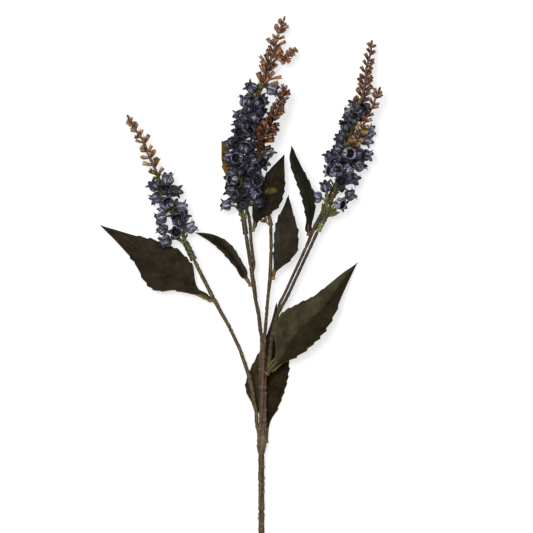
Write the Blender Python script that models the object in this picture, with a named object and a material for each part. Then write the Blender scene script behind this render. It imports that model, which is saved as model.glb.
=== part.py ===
"""Bellflower stem: one cut stem with five flower spikes and eight leaves, lying on a flat surface.

Lengths are in millimetres and become metres when a mesh is made. The stem lies along +Y with its
cut end towards -Y, +X is to its right and +Z is up from the surface that it lies on.
"""
import math

import bpy
import bmesh
from mathutils import Vector

MM = 0.001
GAP = 0.3              # clearance between pieces that touch
UP = Vector((0, 0, 1))

STEM_SIDES = 8
BELL_SIDES = 8
PEDICEL_SIDES = 8
BUD_SIDES = 5
TURN = math.radians(137.5)   # angle between one bud and the next round the axis

PEDICEL_RADIUS = 0.9
HUB_RADIUS = 1.5       # short stalk that two or three flowers share
HUB_LENGTH = 3.2
# (distance from the mouth back along the axis, radius) of one bell, from the calyx to the mouth
BELL_LENGTH = 12.5
BELL_OUTSIDE = ((12.5, 1.6), (10.6, 4.0), (7.2, 5.2), (3.0, 5.4), (0.0, 6.9))
BELL_INSIDE = ((1.0, 4.8), (4.4, 2.8))

# Stems: points (x, y, z) and radii along them
MAIN_STEM = (
    ((0, 0, 3.7), 3.7), ((0, 38, 4.3), 3.6), ((0, 76, 5.2), 3.7), ((0, 110, 6.3), 3.6),
    ((0, 119, 7.4), 5.0), ((0.4, 143, 8.2), 5.1), ((1.8, 150, 8.6), 4.7), ((1.8, 190, 9.6), 4.6),
    ((1.8, 230, 11.0), 4.7), ((2.2, 240, 11.6), 4.1), ((2.6, 262, 13.0), 4.4),
)
LEFT_BRANCH = (
    ((-5.9, 149, 9.0), 2.3), ((-6.6, 164, 10.0), 2.3), ((-9, 176, 11.0), 2.2),
    ((-14.2, 205, 12.5), 2.5), ((-26, 240, 14), 2.2), ((-39, 268, 15.0), 2.1),
    ((-60, 306, 16.0), 2.5), ((-84.8, 355, 18.0), 2.2),
)
CENTRE_BRANCH = (
    ((-0.8, 262.6, 13.2), 2.4), ((-3.4, 286, 14), 2.4), ((-7, 303, 15), 2.3),
    ((-9.4, 322, 16), 2.8), ((-13, 346, 17), 2.3), ((-19.6, 387, 19), 2.4),
)
CENTRE_BACK_BRANCH = (
    ((-8.8, 349, 16.4), 1.9), ((-11.0, 362, 16.2), 1.9), ((-12.8, 377, 16), 1.9),
    ((-13.8, 396, 16), 2.0), ((-16, 411, 16.5), 1.9),
)
CENTRE_RIGHT_BRANCH = (
    ((4.6, 262.6, 13.4), 2.1), ((6.8, 290, 14.2), 2.0), ((8.8, 313, 15), 2.0),
    ((11, 330, 15.5), 2.5), ((12.2, 366, 15), 2.0), ((11.8, 398, 14), 2.1),
)
RIGHT_BRANCH = (
    ((9.5, 226, 12.0), 2.5), ((13.4, 258, 13.5), 2.4), ((20.5, 287, 14.6), 2.3),
    ((31.5, 306, 15.4), 1.9), ((60, 367, 18), 1.9), ((71, 391, 19), 2.0),
)
RIGHT_BACK_BRANCH = (
    ((22.4, 299.5, 15.0), 1.8), ((27, 307, 15.2), 1.8), ((55.6, 369, 17.6), 1.8),
    ((66, 394, 17.6), 2.4), ((76, 413, 16), 2.2),
)
# Flower spikes: the green axis that carries the bells, starting in a wider sleeve
LEFT_AXIS = (
    ((-85, 355.5, 18), 2.7), ((-94, 374, 19), 2.6), ((-96, 378, 19), 1.6), ((-110, 413, 20), 1.6),
    ((-121, 444, 20), 1.6), ((-130, 459, 20), 1.6),
)
CENTRE_AXIS = (
    ((-19.7, 387.6, 19), 2.9), ((-22, 404, 20), 2.7), ((-23, 410, 20), 1.7), ((-25, 450, 21), 1.7),
    ((-23, 490, 21), 1.7), ((-15, 535, 22), 1.7), ((1, 569, 23), 1.7),
)
FRONT_AXIS = (
    ((11.8, 398.6, 14), 2.4), ((9, 412, 12), 2.2), ((5, 428, 11), 1.6), ((0, 455, 12), 1.6),
    ((-4, 480, 18), 1.6), ((-3.4, 490, 22), 1.6),
)
RIGHT_AXIS = (
    ((71.3, 391.5, 19), 2.6), ((81, 410, 20), 2.6), ((86, 421, 21), 1.7), ((101, 472, 21), 1.7),
    ((108, 500, 21), 1.7), ((124, 548, 22), 1.7),
)
RIGHT_SIDE_AXIS = (
    ((76.3, 413.6, 16), 1.9), ((83, 430, 15), 1.6), ((98, 460, 15.5), 1.6), ((111, 488, 20), 1.6),
)
# Budded tips: (x, y, z) points of the axis, number of buds, length of the first and the last bud
LEFT_TIP = (((-130.2, 459.4, 20), (-144, 496, 19), (-158, 520, 18), (-168, 535, 17)), 17, 11, 4.5)
CENTRE_TIP = (((1.2, 569.5, 23), (9, 599, 23), (19, 626, 22), (29, 658, 20)), 30, 13.5, 5)
CENTRE_SIDE_TIP = (((4.6, 582, 23), (18, 587, 23), (27, 599, 22), (42, 620, 21)), 10, 10, 5)
FRONT_TIP = (((-3.1, 491, 22.6), (7, 514, 32), (20, 540, 35), (32, 571, 33)), 24, 14.5, 5)
RIGHT_TIP = (((124.2, 548.5, 22), (129, 575, 21), (134, 605, 20), (138.5, 628, 19)), 20, 12, 5)
RIGHT_SIDE_TIP = (((111.5, 488.8, 20.6), (124, 514, 29), (138, 545, 30), (148.5, 569, 28)), 20, 14.5, 6)

# Flowers: (distance along the axis, offset to the right of it, height over it) of each bell
LEFT_FLOWERS = (
    ((102, 9, 4), (88, 10, -3)), ((104, -10, 5), (87, -14, -2)), ((76, -1, 12), (66, 12, 1)),
    ((62, -16, 2),), ((52, 2, 13), (39, -4, 12)), ((48, -20, -3), (33, -21, -4)),
    ((37, 13, -1),), ((58, 2, -11), (44, 3, -11)),
)
CENTRE_FLOWERS = (
    ((180, -12, 5),), ((189, 12, 2),), ((161, -11, 4), (146, -11, -3)),
    ((158, 11, 3), (143, 14, -4), (150, 0, -13)), ((136, -3, 12), (125, -7, 11)),
    ((125, 11, 2), (110, 5, -12)), ((108, -17, 0), (94, -17, -1)), ((107, 2, 12), (93, -6, 12)),
    ((78, 9, -12),), ((79, -3, 13), (66, -11, 9)), ((52, 0, 13), (54, -14, 3)),
    ((36, -20, -1),), ((36, 0, 13),), ((37, 20, 5), (49, 16, 9)),
)
FRONT_FLOWERS = (
    ((60, -4, 14), (70, -8, 12)), ((81, 4, 12), (86, -9, 14), (93, 13, -1)),
)
RIGHT_FLOWERS = (
    ((160, 3, 12), (151, -10, 4)), ((134, -10, 5), (124, -6, -13)), ((105, -10, 3), (102, 4, 12)),
    ((92, -17, -4), (75, -11, 4)), ((84, 9, 10), (67, 4, 12)), ((54, -12, 4), (39, -19, -2)),
    ((53, 20, -1), (39, 11, 6)), ((126, 19, -10), (137, 20, -8)),
)
RIGHT_SIDE_FLOWERS = (
    ((86, 12, 4), (88, 20, -4)), ((72, 17, 2), (54, 17, -2)), ((64, -4, -8), (40, 6, -6.5)),
)

# Leaves: half widths are taken at these fractions of the length, left and right of the midrib
WIDTH_AT = (0.14, 0.26, 0.38, 0.5, 0.62, 0.75, 0.88)
LEAF_THICKNESS = 1.0
PETIOLE_RADIUS = 1.4


def clear_scene():
    for thing in list(bpy.data.objects):
        bpy.data.objects.remove(thing, do_unlink=True)


def material(name, colour, roughness):
    """Principled material; colour is linear RGB."""
    made = bpy.data.materials.new(name)
    made.use_nodes = True
    shader = made.node_tree.nodes["Principled BSDF"]
    shader.inputs["Base Color"].default_value = (*colour, 1)
    shader.inputs["Roughness"].default_value = roughness
    shader.inputs["Metallic"].default_value = 0
    return made


def axes_along(direction):
    """Side and top vectors square to a direction; the side vector stays level where it can."""
    side = direction.cross(UP)
    if side.length < 1e-3:
        side = Vector((1, 0, 0))
    side.normalize()
    return side, side.cross(direction).normalized()


def curve_at(points, t):
    """Catmull-Rom point at parameter t, which counts the points."""
    last = len(points) - 1
    i = min(int(t), last - 1)
    f = t - i
    before, a, b, after = (Vector(points[min(max(j, 0), last)]) for j in (i - 1, i, i + 1, i + 2))
    return 0.5 * (2 * a + (b - before) * f + (2 * before - 5 * a + 4 * b - after) * f ** 2
                  + (3 * a - before - 3 * b + after) * f ** 3)


class Axis:
    """A smooth line through given points that can be read by distance along it."""

    def __init__(self, points, steps=8):
        count = (len(points) - 1) * steps
        self.line = [curve_at(points, k / steps) for k in range(count)] + [Vector(points[-1])]
        self.far = [0.0]
        for a, b in zip(self.line, self.line[1:]):
            self.far.append(self.far[-1] + (b - a).length)

    def at(self, distance):
        """Point and unit direction at a distance from the start."""
        last = len(self.line) - 2
        i = 0
        while i < last and self.far[i + 1] < distance:
            i += 1
        run = self.line[i + 1] - self.line[i]
        share = (distance - self.far[i]) / run.length
        return self.line[i] + run * share, run.normalized()


def ring(centre, side, top, radius, sides):
    angles = (2 * math.pi * k / sides for k in range(sides))
    return [centre + radius * (math.cos(a) * side + math.sin(a) * top) for a in angles]


def add_loft(mesh, rings, end_point=None):
    """Skin a list of rings; the first end is flat and the last is flat or runs to a point."""
    rows = [[mesh.verts.new(p) for p in points] for points in rings]
    count = len(rows[0])
    mesh.faces.new(list(reversed(rows[0])))
    for low, high in zip(rows, rows[1:]):
        for k in range(count):
            m = (k + 1) % count
            mesh.faces.new((low[k], low[m], high[m], high[k]))
    if end_point is None:
        mesh.faces.new(rows[-1])
        return
    tip = mesh.verts.new(end_point)
    for k in range(count):
        mesh.faces.new((rows[-1][k], rows[-1][(k + 1) % count], tip))


def new_object(name, mesh, origin, finish, smooth=True):
    """Object whose origin is at the given point, from a bmesh in millimetres."""
    bmesh.ops.recalc_face_normals(mesh, faces=mesh.faces)
    for vertex in mesh.verts:
        vertex.co = (vertex.co - origin) * MM
    data = bpy.data.meshes.new(name)
    mesh.to_mesh(data)
    mesh.free()
    if smooth:
        data.shade_smooth()
        data.set_sharp_from_angle(angle=math.radians(50))
    made = bpy.data.objects.new(name, data)
    made.location = origin * MM
    made.data.materials.append(finish)
    bpy.context.scene.collection.objects.link(made)
    return made


def join_solids(body, others):
    """Unite overlapping closed solids in one closed body."""
    for other in others:
        union = body.modifiers.new("union", "BOOLEAN")
        union.operation = "UNION"
        union.solver = "EXACT"
        union.object = other
        bpy.context.view_layer.update()
        shape = body.evaluated_get(bpy.context.evaluated_depsgraph_get())
        joined = bpy.data.meshes.new_from_object(shape)
        body.modifiers.remove(union)
        body.data = joined
        bpy.data.objects.remove(other, do_unlink=True)
    body.data.shade_smooth()
    body.data.set_sharp_from_angle(angle=math.radians(50))
    return body


def tube(name, stations, finish):
    """Stem piece through (point, radius) stations."""
    points = [Vector(point) for point, _ in stations]
    rings = []
    for i, (_, radius) in enumerate(stations):
        run = points[min(i + 1, len(points) - 1)] - points[max(i - 1, 0)]
        side, top = axes_along(run.normalized())
        rings.append(ring(points[i], side, top, radius, STEM_SIDES))
    mesh = bmesh.new()
    add_loft(mesh, rings)
    return new_object(name, mesh, points[0], finish)


def bell_rings(foot, centre):
    """Rings of a pedicel that starts at foot and of the bell whose middle is at centre."""
    out = (centre - foot).normalized()
    side, top = axes_along(out)
    mouth = centre + out * BELL_LENGTH / 2
    calyx = mouth - out * (BELL_LENGTH + 0.6)
    rings = [ring(foot, side, top, PEDICEL_RADIUS, PEDICEL_SIDES),
             ring(calyx, side, top, PEDICEL_RADIUS, PEDICEL_SIDES)]
    for back, radius in BELL_OUTSIDE + BELL_INSIDE:
        rings.append(ring(mouth - out * back, side, top, radius, BELL_SIDES))
    return rings


def stalk_start(axis, station, aim, radius):
    """Point just off the spike's axis where a stalk of this radius that points at aim begins."""
    root, along = axis.at(station)
    out = (aim - root).normalized()
    lean = abs(out.dot(along))
    clear = (axis.radius + GAP + radius * lean) / math.sqrt(1 - lean ** 2)
    return root + out * clear


def flower_group(name, axis, flowers, finish):
    """One to three bells that leave the spike's axis at one point."""
    centres = []
    for station, right, lift in flowers:
        root, along = axis.at(station)
        side, top = axes_along(along)
        centres.append(root + side * right + top * lift)
    foot_station = min(station for station, _, _ in flowers) - 2
    if len(flowers) == 1:
        foot = stalk_start(axis, foot_station, centres[0], PEDICEL_RADIUS)
        mesh = bmesh.new()
        add_loft(mesh, bell_rings(foot, centres[0]))
        return new_object(name, mesh, foot, finish)
    aim = sum(centres, Vector()) / len(centres)
    foot = stalk_start(axis, foot_station, aim, HUB_RADIUS)
    out = (aim - foot).normalized()
    side, top = axes_along(out)
    mesh = bmesh.new()
    add_loft(mesh, [ring(foot, side, top, HUB_RADIUS, PEDICEL_SIDES),
                    ring(foot + out * HUB_LENGTH, side, top, HUB_RADIUS, PEDICEL_SIDES)])
    body = new_object(name, mesh, foot, finish)
    bells = []
    for k, centre in enumerate(centres):
        mesh = bmesh.new()
        start = foot + out * (HUB_LENGTH * 0.5 + 0.3 * k)
        add_loft(mesh, bell_rings(start, centre))
        bells.append(new_object(name + "_bell", mesh, start, finish))
    return join_solids(body, bells)


def spike(name, stations, flowers, axis_finish, bell_finish):
    """Green axis of a spike and the groups of bells along it."""
    tube(name + "_axis", stations, axis_finish)
    axis = Axis([point for point, _ in stations], steps=1)
    axis.radius = max(radius for _, radius in stations[2:])
    for number, group in enumerate(flowers, 1):
        flower_group(f"{name}_flowers_{number}", axis, group, bell_finish)


def bud(axis, station, turn, length, finish):
    """Club-shaped bud that leans out and forward from the axis."""
    root, along = axis.at(station)
    side, top = axes_along(along)
    out = (side * math.cos(turn) + top * math.sin(turn)) * 0.8 + along * 0.6
    side, top = axes_along(out)
    club = 0.1 * length + 1.0
    rings = [ring(root + out * length * far, side, top, radius, BUD_SIDES)
             for far, radius in ((0.02, 0.6), (0.45, 0.7), (0.75, club), (0.92, club * 0.8))]
    mesh = bmesh.new()
    add_loft(mesh, rings, root + out * length)
    return new_object("bud", mesh, root, finish)


def budded_tip(name, points, count, first, last, finish):
    """Closed end of a spike: a thin axis with buds that get smaller towards its tip."""
    axis = Axis(points)
    reach = axis.far[-1]
    rings = []
    for share, radius in ((0, 1.3), (0.25, 1.2), (0.5, 1.1), (0.75, 0.9), (0.97, 0.7)):
        centre, along = axis.at(reach * share)
        side, top = axes_along(along)
        rings.append(ring(centre, side, top, radius, 6))
    mesh = bmesh.new()
    add_loft(mesh, rings, Vector(points[-1]))
    body = new_object(name, mesh, Vector(points[0]), finish)
    buds = []
    for k in range(count):
        share = k / (count - 1)
        station = reach * (0.05 + 0.88 * share)
        length = first + (last - first) * share
        buds.append(bud(axis, station, TURN * k + 0.4, length, finish))
    return join_solids(body, buds)


def leaf_ring(centre, along, left, right, fold, roll, thickness):
    """Eight points round a folded blade; the halves rise from the midrib by the fold angle."""
    side, top = axes_along(along)
    tilted_side = side * math.cos(roll) + top * math.sin(roll)
    tilted_top = top * math.cos(roll) - side * math.sin(roll)
    right_way = tilted_side * math.cos(fold) + tilted_top * math.sin(fold)
    left_way = -tilted_side * math.cos(fold) + tilted_top * math.sin(fold)
    half = tilted_top * thickness / 2
    points = [(right_way, right, 0), (right_way, right * 0.55, 1), (right_way, 0, 1),
              (left_way, left * 0.55, 1), (left_way, left, 0), (left_way, left * 0.55, -1),
              (left_way, 0, -1), (right_way, right * 0.55, -1)]
    return [centre + way * wide + half * lift for way, wide, lift in points]


def leaf(name, base, tip, left, right, finish, bow=0, arch=6, fold=18, roll=0):
    """Leaf with its petiole; bow bends the midrib sideways and arch lifts its middle."""
    base, tip = Vector(base), Vector(tip)
    side, top = axes_along((tip - base).normalized())
    fold, roll = math.radians(fold), math.radians(roll)

    def midrib(share):
        bend = math.sin(math.pi * share)
        return base.lerp(tip, share) + side * bow * bend + top * arch * bend

    rings = []
    stations = [(0, PETIOLE_RADIUS, PETIOLE_RADIUS), (0.07, PETIOLE_RADIUS, PETIOLE_RADIUS)]
    stations += list(zip(WIDTH_AT, left, right)) + [(0.97, 1.2, 1.2)]
    for share, wide_left, wide_right in stations:
        along = (midrib(share + 0.01) - midrib(max(share - 0.01, 0))).normalized()
        opening = min(1, max(0, (share - 0.07) / 0.12))
        thickness = 2 * PETIOLE_RADIUS + (LEAF_THICKNESS - 2 * PETIOLE_RADIUS) * opening
        rings.append(leaf_ring(midrib(share), along, wide_left, wide_right, fold * opening,
                               roll * opening, thickness))
    mesh = bmesh.new()
    add_loft(mesh, rings, tip)
    return new_object(name, mesh, base, finish, smooth=False)


def make_stems(finish):
    tube("main_stem", MAIN_STEM, finish)
    tube("left_branch", LEFT_BRANCH, finish)
    tube("centre_branch", CENTRE_BRANCH, finish)
    tube("centre_back_branch", CENTRE_BACK_BRANCH, finish)
    tube("centre_right_branch", CENTRE_RIGHT_BRANCH, finish)
    tube("right_branch", RIGHT_BRANCH, finish)
    tube("right_back_branch", RIGHT_BACK_BRANCH, finish)


def make_spikes(axis_finish, bell_finish):
    spike("left_spike", LEFT_AXIS, LEFT_FLOWERS, axis_finish, bell_finish)
    spike("centre_spike", CENTRE_AXIS, CENTRE_FLOWERS, axis_finish, bell_finish)
    spike("front_spike", FRONT_AXIS, FRONT_FLOWERS, axis_finish, bell_finish)
    spike("right_spike", RIGHT_AXIS, RIGHT_FLOWERS, axis_finish, bell_finish)
    spike("right_side_spike", RIGHT_SIDE_AXIS, RIGHT_SIDE_FLOWERS, axis_finish, bell_finish)


def make_tips(finish):
    budded_tip("left_tip", *LEFT_TIP, finish)
    centre_tip = budded_tip("centre_tip", *CENTRE_TIP, finish)
    join_solids(centre_tip, [budded_tip("centre_side_tip", *CENTRE_SIDE_TIP, finish)])
    budded_tip("front_tip", *FRONT_TIP, finish)
    budded_tip("right_tip", *RIGHT_TIP, finish)
    budded_tip("right_side_tip", *RIGHT_SIDE_TIP, finish)


def make_leaves(finish, pale_finish):
    leaf("left_leaf", (-62.5, 303, 14), (-203, 398, 0.3), (7, 15, 29, 26, 15, 9, 4),
         (4, 22, 28, 27, 21, 13, 6), finish, arch=0, fold=6, roll=-6)
    leaf("centre_left_leaf", (-14.0, 323, 16), (-83, 388, 10), (9, 12, 14, 14, 12, 9, 5),
         (9, 12, 14, 14, 12, 9, 5), finish, bow=8, fold=62)
    leaf("centre_leaf", (-10.3, 391, 17.2), (29, 486, 15), (7, 11, 12, 13, 12, 10, 5),
         (3, 11, 18, 18, 16, 11, 5), finish, arch=0, fold=6)
    leaf("back_leaf", (-25.8, 411, 17.4), (-50, 504, 3), (5, 9, 11, 11, 11, 10, 5),
         (4, 6, 6, 6, 6, 6, 3), pale_finish, bow=8, arch=-4, fold=5)
    leaf("centre_right_leaf", (15.5, 331, 16), (34, 435, 14), (3, 5, 7, 9, 9, 7, 3),
         (7, 18, 24, 22, 19, 12, 6), finish, arch=5)
    leaf("right_upper_leaf", (59.3, 386, 20.2), (37, 497, 14), (2, 3, 4, 6, 8, 9, 7),
         (6, 10, 11, 10, 7, 4, 2), finish, bow=5)
    leaf("right_leaf", (7.1, 212, 12.9), (121, 351, 0.3), (7, 27, 34, 26, 16, 11, 6),
         (9, 18, 22, 22, 18, 11, 5), finish, arch=12, fold=14)
    leaf("lower_leaf", (6.4, 126, 4.5), (19, 301, 3), (4, 21, 31, 27, 18, 10, 4),
         (3, 12, 18, 21, 20, 12, 4), finish, arch=-3, fold=0)


def rest_on_surface(name):
    """Hang every piece from one empty that puts the lowest point on Z = 0, centred on X and Y."""
    bpy.context.view_layer.update()
    pieces = list(bpy.data.objects)
    corners = [piece.matrix_world @ vertex.co for piece in pieces for vertex in piece.data.vertices]
    low = Vector(min(c[i] for c in corners) for i in range(3))
    high = Vector(max(c[i] for c in corners) for i in range(3))
    holder = bpy.data.objects.new(name, None)
    bpy.context.scene.collection.objects.link(holder)
    holder.location = (-(low.x + high.x) / 2, -(low.y + high.y) / 2, -low.z)
    for piece in pieces:
        piece.parent = holder


def main():
    clear_scene()
    make_stems(material("stem_taupe", (0.09, 0.065, 0.04), 0.7))
    make_spikes(material("axis_green", (0.10, 0.14, 0.03), 0.6),
                material("bell_blue", (0.045, 0.045, 0.09), 0.6))
    make_tips(material("bud_copper", (0.28, 0.12, 0.045), 0.5))
    make_leaves(material("leaf_dark", (0.028, 0.021, 0.016), 0.6),
                material("leaf_ochre", (0.15, 0.075, 0.012), 0.6))
    rest_on_surface("bellflower_stem")


main()
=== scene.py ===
"""Looks of an artificial bellflower stem: five flower spikes and eight leaves, on a pale floor.

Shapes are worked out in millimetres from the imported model's meshes and become metres when a mesh is
made. The stem lies along +Y with its cut end towards -Y, and +Z is up from the floor.
"""

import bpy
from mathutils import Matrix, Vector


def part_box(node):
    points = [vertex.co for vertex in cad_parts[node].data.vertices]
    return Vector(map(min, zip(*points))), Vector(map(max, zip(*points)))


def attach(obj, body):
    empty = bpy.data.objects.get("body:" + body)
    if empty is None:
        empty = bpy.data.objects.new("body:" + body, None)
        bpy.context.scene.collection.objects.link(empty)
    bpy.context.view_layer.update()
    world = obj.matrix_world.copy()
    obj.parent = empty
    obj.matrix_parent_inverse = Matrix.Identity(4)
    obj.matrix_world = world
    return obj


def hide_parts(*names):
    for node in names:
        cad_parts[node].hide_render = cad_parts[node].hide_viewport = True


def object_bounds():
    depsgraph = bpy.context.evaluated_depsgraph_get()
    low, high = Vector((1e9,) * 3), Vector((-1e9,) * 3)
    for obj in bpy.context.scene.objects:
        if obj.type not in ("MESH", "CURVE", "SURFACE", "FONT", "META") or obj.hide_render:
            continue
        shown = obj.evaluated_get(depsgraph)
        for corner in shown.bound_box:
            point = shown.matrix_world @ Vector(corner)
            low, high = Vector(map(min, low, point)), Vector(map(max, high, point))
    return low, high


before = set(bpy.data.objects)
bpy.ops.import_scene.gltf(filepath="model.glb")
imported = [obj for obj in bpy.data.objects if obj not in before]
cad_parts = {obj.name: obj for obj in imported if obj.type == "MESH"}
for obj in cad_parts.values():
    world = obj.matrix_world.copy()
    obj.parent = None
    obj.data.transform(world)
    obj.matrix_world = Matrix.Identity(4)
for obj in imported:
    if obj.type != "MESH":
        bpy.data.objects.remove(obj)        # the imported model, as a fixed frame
CAD_BOX = [list(corner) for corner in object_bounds()]

import math
import random

import bmesh
import bpy
import numpy as np
from bpy.props import FloatProperty, FloatVectorProperty, PointerProperty

bl_info = {
    "name": "Bellflower stem",
    "version": (1, 0, 0),
    "blender": (4, 5, 0),
    "location": "View3D > Sidebar > Bellflower",
    "description": "Artificial bellflower stem with five flower spikes and eight leaves",
    "category": "Add Mesh",
}

MM = 0.001
UP = np.array((0.0, 0.0, 1.0))
FULL_TURN = 2 * math.pi
GOLDEN_TURN = math.radians(137.5)
FLOOR_HEIGHT = CAD_BOX[0][2] / MM
FLOOR_CLEARANCE = 0.15      # mm that the lowest petals and leaf edges keep over the floor
SHARP_EDGE = math.radians(50)
PLASTIC_IOR = 1.5
# Slots of a piece's materials: its own, that of its green or tan parts, and a third one
OWN, SECOND, THIRD = range(3)
# Side veins of a leaf: pairs on its length, and the share of it that they climb on their way out
VEIN_PAIRS = 9.5
VEIN_SLANT = 0.17
# Distance between the lines of a diagonal wave texture of scale 1 on a level sheet, in metres
WAVE_SPACING = 0.2 * math.pi / math.sqrt(2)

# Octagons of the CAD model: the flat floor of each bell, and the feet of single and shared stalks
CAD_SIDES = 8
BELL_FLOOR_RADIUS = 2.8
BELL_FLOOR_DEPTH = 4.4      # behind the mouth
BELL_LENGTH = 12.5
SHARED_FOOT_RADIUS = 1.5
SHARED_STALK_LENGTH = 3.2
# The CAD leaves: shares of the length at which their widths are set, and their thicknesses
LEAF_STATIONS = (0.01, 0.07, 0.14, 0.26, 0.38, 0.5, 0.62, 0.75, 0.88, 0.97)
CAD_LEAF_THICKNESS = 1.0
PETIOLE_RADIUS = 1.4
FLATTENING = (0.07, 0.19)   # stretch over which the petiole becomes the flat blade
LEAST_FOLD = 1.5            # depth of a fold, in mm, that is deep enough to find the midrib by

# Each stem: the stem that it grows from and the length in mm over which it hugs it
STEM_PARENTS = {
    "main_stem": (None, 0), "left_branch": ("main_stem", 26), "centre_branch": ("main_stem", 12),
    "centre_right_branch": ("main_stem", 12), "right_branch": ("main_stem", 30),
    "centre_back_branch": ("centre_branch", 14), "right_back_branch": ("right_branch", 12),
}
# A stem that goes on behind the bells, with the axis that it joins and how far up it does so, in mm
STEM_JOINS = {"centre_back_branch": ("centre_spike_axis", 40)}
SPIKES = ("left_spike", "centre_spike", "front_spike", "right_spike", "right_side_spike")
TIPS = ("left_tip", "centre_tip", "front_tip", "right_tip", "right_side_tip")


def linear(hex_colour):
    """Linear RGB of an sRGB hex colour."""
    shares = [int(hex_colour[k:k + 2], 16) / 255 for k in (1, 3, 5)]
    return tuple(s / 12.92 if s <= 0.04045 else ((s + 0.055) / 1.055) ** 2.4 for s in shares)


def shade(hex_colour):
    """Colour socket value of an sRGB hex colour."""
    return (*linear(hex_colour), 1.0)


# ---------------------------------------------------------------- curves

def unit(vector):
    """The vector with a length of one."""
    return vector / np.linalg.norm(vector)


def smooth_through(at, knots, values):
    """Values at the given places on a smooth curve through unevenly spaced knots."""
    knots, values = np.asarray(knots, float), np.asarray(values, float)
    slopes = np.gradient(values, knots, axis=0)
    i = np.clip(np.searchsorted(knots, at, side="right") - 1, 0, len(knots) - 2)
    column = (-1,) + (1,) * (values.ndim - 1)
    gap = (knots[i + 1] - knots[i]).reshape(column)
    f = (at - knots[i]).reshape(column) / gap
    return ((2 * f ** 3 - 3 * f ** 2 + 1) * values[i] + (f ** 3 - 2 * f ** 2 + f) * gap * slopes[i]
            + (3 * f ** 2 - 2 * f ** 3) * values[i + 1] + (f ** 3 - f ** 2) * gap * slopes[i + 1])


def distances(points):
    """Distance of each point of a polyline from its start."""
    return np.concatenate([[0.0], np.cumsum(np.linalg.norm(np.diff(points, axis=0), axis=1))])


def even_steps(stations, step, soften):
    """Distances and softened rows (x, y, z, radius) at even steps along a line of stations."""
    stations = np.asarray(stations, float)
    far = distances(stations[:, :3])
    at = np.linspace(0, far[-1], max(int(far[-1] / step), 8) + 1)
    rows = np.stack([np.interp(at, far, column) for column in stations.T], axis=1)
    reach = min(max(int(soften / step), 1), len(rows) - 2)
    padded = np.concatenate([2 * rows[0] - rows[reach:0:-1], rows,
                             2 * rows[-1] - rows[-2:-reach - 2:-1]])
    weights = np.hanning(2 * reach + 3)[1:-1]
    weights /= weights.sum()
    return at, np.stack([np.convolve(column, weights, "valid") for column in padded.T], axis=1)


def frames_along(path):
    """Run, side and top directions of a path, turned no more than its bends need."""
    runs = np.gradient(path, axis=0)
    runs /= np.linalg.norm(runs, axis=1, keepdims=True)
    side = np.cross(runs[0], UP)
    if np.linalg.norm(side) < 0.1:
        side = np.array((1.0, 0.0, 0.0))
    sides = []
    for run in runs:
        side = unit(side - run * side.dot(run))
        sides.append(side)
    sides = np.array(sides)
    return runs, sides, np.cross(sides, runs)


def spoke(sides, tops, row, turn):
    """Direction square to a path at one of its rows, at a turn from its side direction."""
    return sides[row] * math.cos(turn) + tops[row] * math.sin(turn)


def any_turn(rng):
    """Random turn between none and a full one."""
    return rng.uniform(0, FULL_TURN)


def turned_to(direction, turn):
    """Matrix whose columns are two crosswise directions and the given one, turned about it."""
    _, sides, tops = frames_along(np.array((np.zeros(3), direction)))
    first = spoke(sides, tops, 0, turn)
    return np.stack([first, np.cross(direction, first), direction], axis=1)


def around(count):
    """Turns of points evenly spaced round a ring."""
    return FULL_TURN * np.arange(count) / count


def round_points(radius, height, turn):
    """Points at the given radii, heights and turns about the Z axis."""
    radius, height, turn = np.broadcast_arrays(radius, height, turn)
    return np.stack([radius * np.cos(turn), radius * np.sin(turn), height], axis=-1)


# ---------------------------------------------------------------- meshes

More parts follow.
